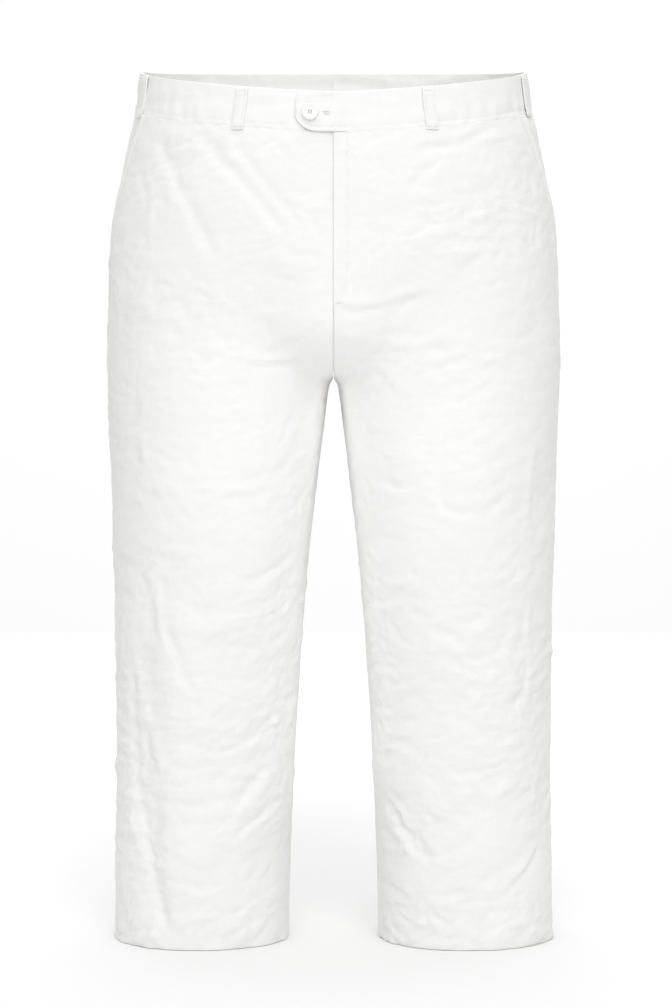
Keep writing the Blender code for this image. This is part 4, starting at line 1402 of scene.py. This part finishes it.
seams = bmesh.new()
upwards = np.array([0.0, 0.0, 1.0])
sideways = np.array([1.0, 0.0, 0.0])
sewLine(seams, *onPanel(panels["front_left"], flyPath[:, 0], flyPath[:, 1]))
for bead in range(sewingSizes["tackBeads"]):
    x = sewingSizes["tackStart"] + bead * sewingSizes["tackStep"]
    middle, facing = onPanel(panels["front_left"], [x], [sewingSizes["tackHeight"]])
    spot = middle[0] + facing[0] * sewingSizes["tackLift"]
    sewBead(seams, spot, upwards, facing[0], sewingSizes["tackLength"], stitchSizes["thick"])
for frontName in ("front_left", "front_right"):
    panel = panels[frontName]
    rows = np.nonzero((panel["onMouth"] > 0.5) & (panel["sinks"] == 0.0))[0][8:]
    line = []
    facing = []
    for row in rows:
        arcs = panel["arc"][row, 3:-3]
        spot = panel["whole"][row] - panelSizes["mouthInset"]
        line.append(readAlong(arcs, panel["place"][row, 3:-3], spot))
        facing.append(readAlong(arcs, panel["outward"][row, 3:-3], spot))
    sewLine(seams, np.array(line), np.array(facing))
for panel in panels.values():
    # the hem's stitches follow the row nearest to the turned-up edge
    away = np.abs(panel["levels"] - garment["hem"] - panelSizes["hemStitch"])
    row = np.argmin(away + (panel["sinks"] > 0.0))
    sewLine(seams, panel["place"][row, 4:-4], panel["outward"][row, 4:-4])
addPiece("seam_stitching", seams, thread)
print("stitching made")

# the tab's stitches, its buttonhole and the button
buttonSizes = {
    "x": -0.0212,
    "belowRim": 0.0205,
    "radius": 0.0078,
    "height": 0.0030,
    "wellRadius": 0.0053,
    "wellFloor": 0.0020,
    "holeRadius": 0.0009,
    "holeSpread": 0.0014,
    "threadRadius": 0.00032,
    "shank": 0.0005,
    "slitFrom": -0.0236,
    "slitTo": -0.0046,
    "slitRadius": 0.00034,
    "beadStep": 0.00056,
    "beadLength": 0.0017,
    "beadAside": 0.00115,     # from the slit's middle line to its beads'
    "beadLift": 0.0001,
    "endBeads": 6, "endStep": 0.0006, "endLength": 0.0016, "endAway": 0.0004,
}


def onTab(x, below):
    # a place on the tab's outer face, at a distance past the centre front and below the rim
    turn = frontTurn(np.maximum(np.abs(x), 1e-6), garment["rimSide"])
    z = rimHeight(turn) - below
    outward = outwardVectors(turn, z)
    place = smoothPoints(turn, z) + outward * bandSizes["tabLift"]
    return mirrored(place, -1.0), mirrored(outward, -1.0)


def sewOnTab(x, below, run, length):
    # one bead of the buttonhole
    place, facing = onTab(np.array([x]), np.array([below]))
    spot = place[0] + facing[0] * buttonSizes["beadLift"]
    sewBead(tabStitches, spot, run, facing[0], length, stitchSizes["holeThick"])


tabStitches = bmesh.new()
for line, facing in bandRows:
    sewLine(tabStitches, line, facing)
inset = sewingSizes["tabInset"]
reach = bandSizes["tabReach"] - inset
lowRadius = bandSizes["tabLowerRadius"] - inset
highRadius = bandSizes["tabUpperRadius"] - inset
angles = np.linspace(0.0, math.pi / 2, 14)
tabX = np.concatenate([
    [0.0], reach - lowRadius + lowRadius * np.sin(angles),
    reach - highRadius + highRadius * np.cos(angles), [0.0],
])
lowDrop = np.concatenate([[0.0], lowRadius * (1 - np.cos(angles))])
highDrop = np.concatenate([highRadius * (1 - np.sin(angles)), [0.0]])
tabDrop = np.concatenate([bandSizes["tabHeight"] - inset - lowDrop, inset + highDrop])
outline = smoothPath(np.stack([tabX, tabDrop], axis=1), sewingSizes["tabStep"])
sewLine(tabStitches, *onTab(-outline[:, 0], outline[:, 1]))

slitFrom, slitTo, slitDrop = (buttonSizes[size] for size in ("slitFrom", "slitTo", "belowRim"))
slitCount = int((slitTo - slitFrom) / buttonSizes["beadStep"])
for bead in range(slitCount + 1):
    x = slitFrom + (slitTo - slitFrom) * bead / slitCount
    for shift in (-1, 1):
        below = slitDrop + shift * buttonSizes["beadAside"]
        sewOnTab(x, below, upwards, buttonSizes["beadLength"])
for bead in range(buttonSizes["endBeads"]):
    below = slitDrop + (bead - (buttonSizes["endBeads"] - 1) / 2) * buttonSizes["endStep"]
    sewOnTab(slitTo + buttonSizes["endAway"], below, sideways, buttonSizes["endLength"])
addPiece("waistband_stitching", tabStitches, thread)

slit = bmesh.new()
place, facing = onTab(np.array([(slitFrom + slitTo) / 2]), np.array([slitDrop]))
sewBead(slit, place[0], sideways, facing[0], slitTo - slitFrom, buttonSizes["slitRadius"])
bmesh.ops.subdivide_edges(slit, edges=slit.edges[:], cuts=2)
slitShadow = threadFinish("slitShadow", (0.42, 0.415, 0.40))
addPiece("buttonhole_slit", slit, slitShadow)


def buttonFinish():
    # pale pearly plastic with faint swirls
    finish = newFinish("buttonPlastic")
    swirl = finish.noise(finish.stretched(finish.ownSpot(), (120.0, 120.0, 420.0)), 1.0, 3.0)
    return finish.paint({
        "Base Color": finish.mixed(swirl, (0.82, 0.81, 0.78), (0.90, 0.89, 0.865)),
        "Roughness": 0.22 + swirl * 0.14,
        "Coat Weight": 0.4,
    })


def makeButton():
    sizes = buttonSizes
    radius, height = sizes["radius"], sizes["height"]
    well, floorHeight = sizes["wellRadius"], sizes["wellFloor"]
    section = [
        (0.0, 0.0), (radius - 0.0010, 0.0), (radius - 0.0003, 0.0004), (radius, 0.0011),
        (radius, 0.0019), (radius - 0.0003, height - 0.0004), (radius - 0.0010, height),
        (well + 0.0006, height - 0.0001), (well + 0.0001, height - 0.0005),
        (well - 0.0004, floorHeight), (0.0, floorHeight),
    ]
    shape = bmesh.new()
    corners = [shape.verts.new((across, 0.0, up)) for across, up in section]
    edges = [shape.edges.new(pair) for pair in zip(corners[:-1], corners[1:])]
    bmesh.ops.spin(
        shape, geom=corners + edges, cent=(0, 0, 0), axis=(0, 0, 1), dvec=(0, 0, 0),
        angle=math.tau, steps=56, use_merge=True,
    )
    bmesh.ops.remove_doubles(shape, verts=shape.verts[:], dist=1e-6)
    bmesh.ops.recalc_face_normals(shape, faces=shape.faces[:])
    blank = bpy.data.objects.new("button_blank", bpy.data.meshes.new("button_blank"))
    shape.to_mesh(blank.data)
    shape.free()
    drills = bmesh.new()
    for corner in range(4):
        angle = math.pi / 4 + corner * math.pi / 2
        middle = Vector((math.cos(angle), math.sin(angle), 0.0)) * sizes["holeSpread"]
        bmesh.ops.create_cone(
            drills, cap_ends=True, segments=20, radius1=sizes["holeRadius"],
            radius2=sizes["holeRadius"], depth=0.02, matrix=Matrix.Translation(middle),
        )
    drill = bpy.data.objects.new("button_drill", bpy.data.meshes.new("button_drill"))
    drills.to_mesh(drill.data)
    drills.free()
    for thing in (blank, drill):
        bpy.context.scene.collection.objects.link(thing)
    cut = blank.modifiers.new("holes", "BOOLEAN")
    cut.operation = "DIFFERENCE"
    cut.object = drill
    bpy.context.view_layer.update()
    depsgraph = bpy.context.evaluated_depsgraph_get()
    drilled = bpy.data.meshes.new_from_object(blank.evaluated_get(depsgraph))
    for thing in (blank, drill):
        bpy.data.objects.remove(thing)
    seat, facing = onTab(np.array([sizes["x"]]), np.array([sizes["belowRim"]]))
    turnTo = Vector(facing[0]).to_track_quat("Z", "Y").to_matrix().to_4x4()
    seating = Matrix.Translation(Vector(seat[0] + facing[0] * sizes["shank"])) @ turnTo
    drilled.transform(seating)
    shape = bmesh.new()
    shape.from_mesh(drilled)
    bpy.data.meshes.remove(drilled)
    button = addPiece("waist_button_plastic", shape, buttonFinish(), ["waist_button"])
    button.data.set_sharp_from_angle(angle=math.radians(40))
    strands = bmesh.new()
    for row in (-1, 1):
        for turn in (-1, 0, 1):
            y = row * sizes["holeSpread"] * 0.707 + turn * sizes["threadRadius"] * 1.3
            spot = Matrix.Translation((0.0, y, floorHeight + 0.0001))
            strand = (sizes["holeSpread"] * 0.95, sizes["threadRadius"], 0.00045, 1.0)
            matrix = seating @ spot @ Matrix.Diagonal(strand)
            bmesh.ops.create_icosphere(strands, subdivisions=2, radius=1.0, matrix=matrix)
    addPiece("button_thread", strands, thread)


makeButton()
print("button made")

zipSizes = {
    "foot": -0.205,
    "tapeInner": 0.0022,      # from the middle to each tape's inner edge
    "tapeOuter": 0.0128,
    "tapeThickness": 0.0006,
    "sunk": 0.0030,           # behind the cloth's face
    "topGap": 0.0015,         # from the waistband's lower edge down to the tapes
    "wale": 0.00012, "waleStep": 0.0011,
    "toothStep": 0.0021,
    "tooth": (0.0034, 0.0012, 0.0011),
    "slider": (0.0085, 0.0038, 0.0110),
    "pull": (0.0050, 0.0010, 0.0240),
}


def zipPlace(x, z):
    # how far back a place behind the fly lies, on the line that the cloth takes there
    turn = frontTurn(np.maximum(np.abs(x), 1e-6), z)
    return smoothPoints(turn, z)[..., 1] + zipSizes["sunk"]


def zipMiddle(z):
    return float(zipPlace(np.array(0.001), np.array(z)))


def blockMatrix(place, size):
    return Matrix.Translation(place) @ Matrix.Diagonal((*size, 1.0))


def makeZip():
    sizes = zipSizes
    top = garment["rimSide"] - garment["rimFrontDip"] - garment["bandHeight"] - sizes["topGap"]
    for side in (-1, 1):
        across = np.linspace(sizes["tapeInner"], sizes["tapeOuter"], 8) * side
        up = np.linspace(sizes["foot"], top, 64)
        x, z = np.meshgrid(across, up)
        y = zipPlace(x, z) + sizes["wale"] * np.sin(z / sizes["waleStep"])
        forwards = np.array([[[0.0, -1.0, 0.0]]]) + 0.0 * x[..., None]
        tape = shapeGrid(np.stack([x, y, z], axis=-1), np.stack([x, z], axis=-1), forwards)
        name = "zip_tape_" + ("left" if side > 0 else "right")
        addPiece(name, tape, tapeCloth, ["fly_zip"], sizes["tapeThickness"])
    teeth = bmesh.new()
    count = int((top - 0.004 - sizes["foot"]) / sizes["toothStep"])
    for tooth in range(count):
        z = sizes["foot"] + 0.003 + tooth * sizes["toothStep"]
        for side in (-1, 1):
            level = z + (0.5 + 0.5 * side) * sizes["toothStep"] / 2
            y = zipMiddle(level) + sizes["tapeThickness"] / 2
            width, depth, height = sizes["tooth"]
            matrix = blockMatrix((side * 0.0011, y, level), (width, depth, height * 0.8))
            bmesh.ops.create_cube(teeth, size=1.0, matrix=matrix)
    teethPiece = addPiece("zip_teeth", teeth, zipMetal)
    teethPiece.data.shade_flat()
    slider = bmesh.new()
    middle = zipMiddle(top - 0.012) + 0.0016
    for size, drop, back in ((sizes["slider"], 0.009, 0.0), (sizes["pull"], 0.024, 0.0028)):
        block = bmesh.new()
        matrix = blockMatrix((0.0, middle + back, top - drop), size)
        bmesh.ops.create_cube(block, size=1.0, matrix=matrix)
        bmesh.ops.bevel(
            block, geom=block.edges[:], offset=min(size) * 0.35, segments=3, affect="EDGES",
            profile=0.5, material=-1,
        )
        made = bpy.data.meshes.new("block")
        block.to_mesh(made)
        block.free()
        slider.from_mesh(made)
        bpy.data.meshes.remove(made)
    bmesh.ops.recalc_face_normals(slider, faces=slider.faces[:])
    sliderPiece = addPiece("zip_slider", slider, zipMetal)
    sliderPiece.data.set_sharp_from_angle(angle=math.radians(35))


def metalFinish():
    # painted metal with faint scratches
    finish = newFinish("zipMetal")
    worn = finish.noise(finish.stretched(finish.ownSpot(), (900.0, 900.0, 200.0)), 1.0)
    return finish.paint({
        "Base Color": finish.mixed(worn, (0.60, 0.59, 0.56), (0.78, 0.77, 0.74)),
        "Roughness": 0.42 - worn * 0.15,
        "Metallic": 0.6,
    })


zipMetal = metalFinish()
makeZip()
print("zip made")

def addToRoom(thing, location=(0.0, 0.0, 0.0), rotation=(0.0, 0.0, 0.0)):
    thing.location = location
    thing.rotation_euler = rotation
    bpy.context.scene.collection.objects.link(thing)


# the camera stands in front, a little above the garment's middle, and is tipped down
view = {
    "lens": 107.7,
    "sensor": 36.0,
    "location": (0.0024, -3.0, -0.231),
    "tipped": 3.395,
}
cameraData = bpy.data.cameras.new("camera")
cameraData.lens = view["lens"]
cameraData.sensor_width = view["sensor"]
camera = bpy.data.objects.new("camera", cameraData)
addToRoom(camera, view["location"], (math.radians(90 - view["tipped"]), 0.0, 0.0))
bpy.context.scene.camera = camera

room = {
    "sideBright": 0.395,
    "frontBright": 0.62,      # more light from in front and behind
    "topBright": 0.26,        # and from above
    "floorSize": 6.0,
    "floorGap": 0.0003,       # from the hems down to the floor
    "floorColour": (0.84, 0.84, 0.84),
}
world = Finish(bpy.data.worlds.new("softRoom"), "Background")
direction = world.add("ShaderNodeTexCoord", {}, {})
squared = world.add("ShaderNodeVectorMath", {"operation": "MULTIPLY"}, {0: direction, 1: direction})
squaredFront = world.add("ShaderNodeSeparateXYZ", {}, {0: squared}, 1)
upwardPart = world.add("ShaderNodeSeparateXYZ", {}, {0: direction}, 2)
bright = squaredFront * room["frontBright"] + room["sideBright"]
bright = upwardPart * room["topBright"] + bright
bpy.context.scene.world = world.paint({"Color": (1.0, 1.0, 1.0, 1.0), "Strength": bright})
bpy.context.scene.view_settings.view_transform = "Standard"

floorShape = bmesh.new()
bmesh.ops.create_grid(floorShape, x_segments=1, y_segments=1, size=room["floorSize"] / 2)
floorLevel = garment["hem"] - room["floorGap"]
bmesh.ops.translate(floorShape, verts=floorShape.verts[:], vec=(0.0, 0.0, floorLevel))
floorMesh = bpy.data.meshes.new("floor")
floorShape.to_mesh(floorMesh)
floorShape.free()
floorPaint = {"Base Color": (*room["floorColour"], 1.0), "Roughness": 0.9}
floorMesh.materials.append(newFinish("paleFloor").paint(floorPaint))
floor = bpy.data.objects.new("floor", floorMesh)
addToRoom(floor)


def addLight(name, spot, target, size, power, spread):
    data = bpy.data.lights.new(name, "AREA")
    data.shape = "RECTANGLE"
    data.size = size[0]
    data.size_y = size[1]
    data.energy = power
    data.spread = math.radians(spread)
    light = bpy.data.objects.new(name, data)
    light.visible_camera = False
    aim = (Vector(target) - Vector(spot)).to_track_quat("-Z", "Y").to_euler()
    addToRoom(light, spot, aim)


# each light's place, what it points at, its size, its power and its spread in degrees
lights = {
    "frontPanel": ((0.15, -1.4, 0.95), (0.0, 0.0, -0.15), (1.2, 1.0), 3.3, 180),
    "topPanel": ((0.0, 0.2, 2.1), (0.0, 0.2, 0.0), (3.0, 3.0), 27.0, 180),
    "backPanel": ((0.0, 2.3, 1.2), (0.0, 2.3, 0.0), (4.0, 2.0), 17.0, 180),
    "waistFill": ((0.0, -0.02, 0.40), (0.0, 0.06, 0.0), (0.30, 0.20), 0.60, 180),
    "crotchFill": ((0.0, -0.55, -0.80), (0.0, -0.10, -0.275), (0.10, 0.10), 0.024, 40),
    "leftLegFill": ((0.0, -0.050, -0.49), (1.0, -0.050, -0.49), (0.04, 0.40), 0.014, 180),
    "rightLegFill": ((0.0, -0.050, -0.49), (-1.0, -0.050, -0.49), (0.04, 0.40), 0.012, 180),
}
for lightName, facts in lights.items():
    addLight(lightName, *facts)
sunFacts = {"power": 0.80, "softness": 35.0, "tipped": 50.0, "turned": 4.0}
sunData = bpy.data.lights.new("softSun", "SUN")
sunData.energy = sunFacts["power"]
sunData.angle = math.radians(sunFacts["softness"])
sunTurn = (math.radians(sunFacts["tipped"]), 0.0, math.radians(sunFacts["turned"]))
addToRoom(bpy.data.objects.new("softSun", sunData), rotation=sunTurn)
print("camera, floor and light placed")
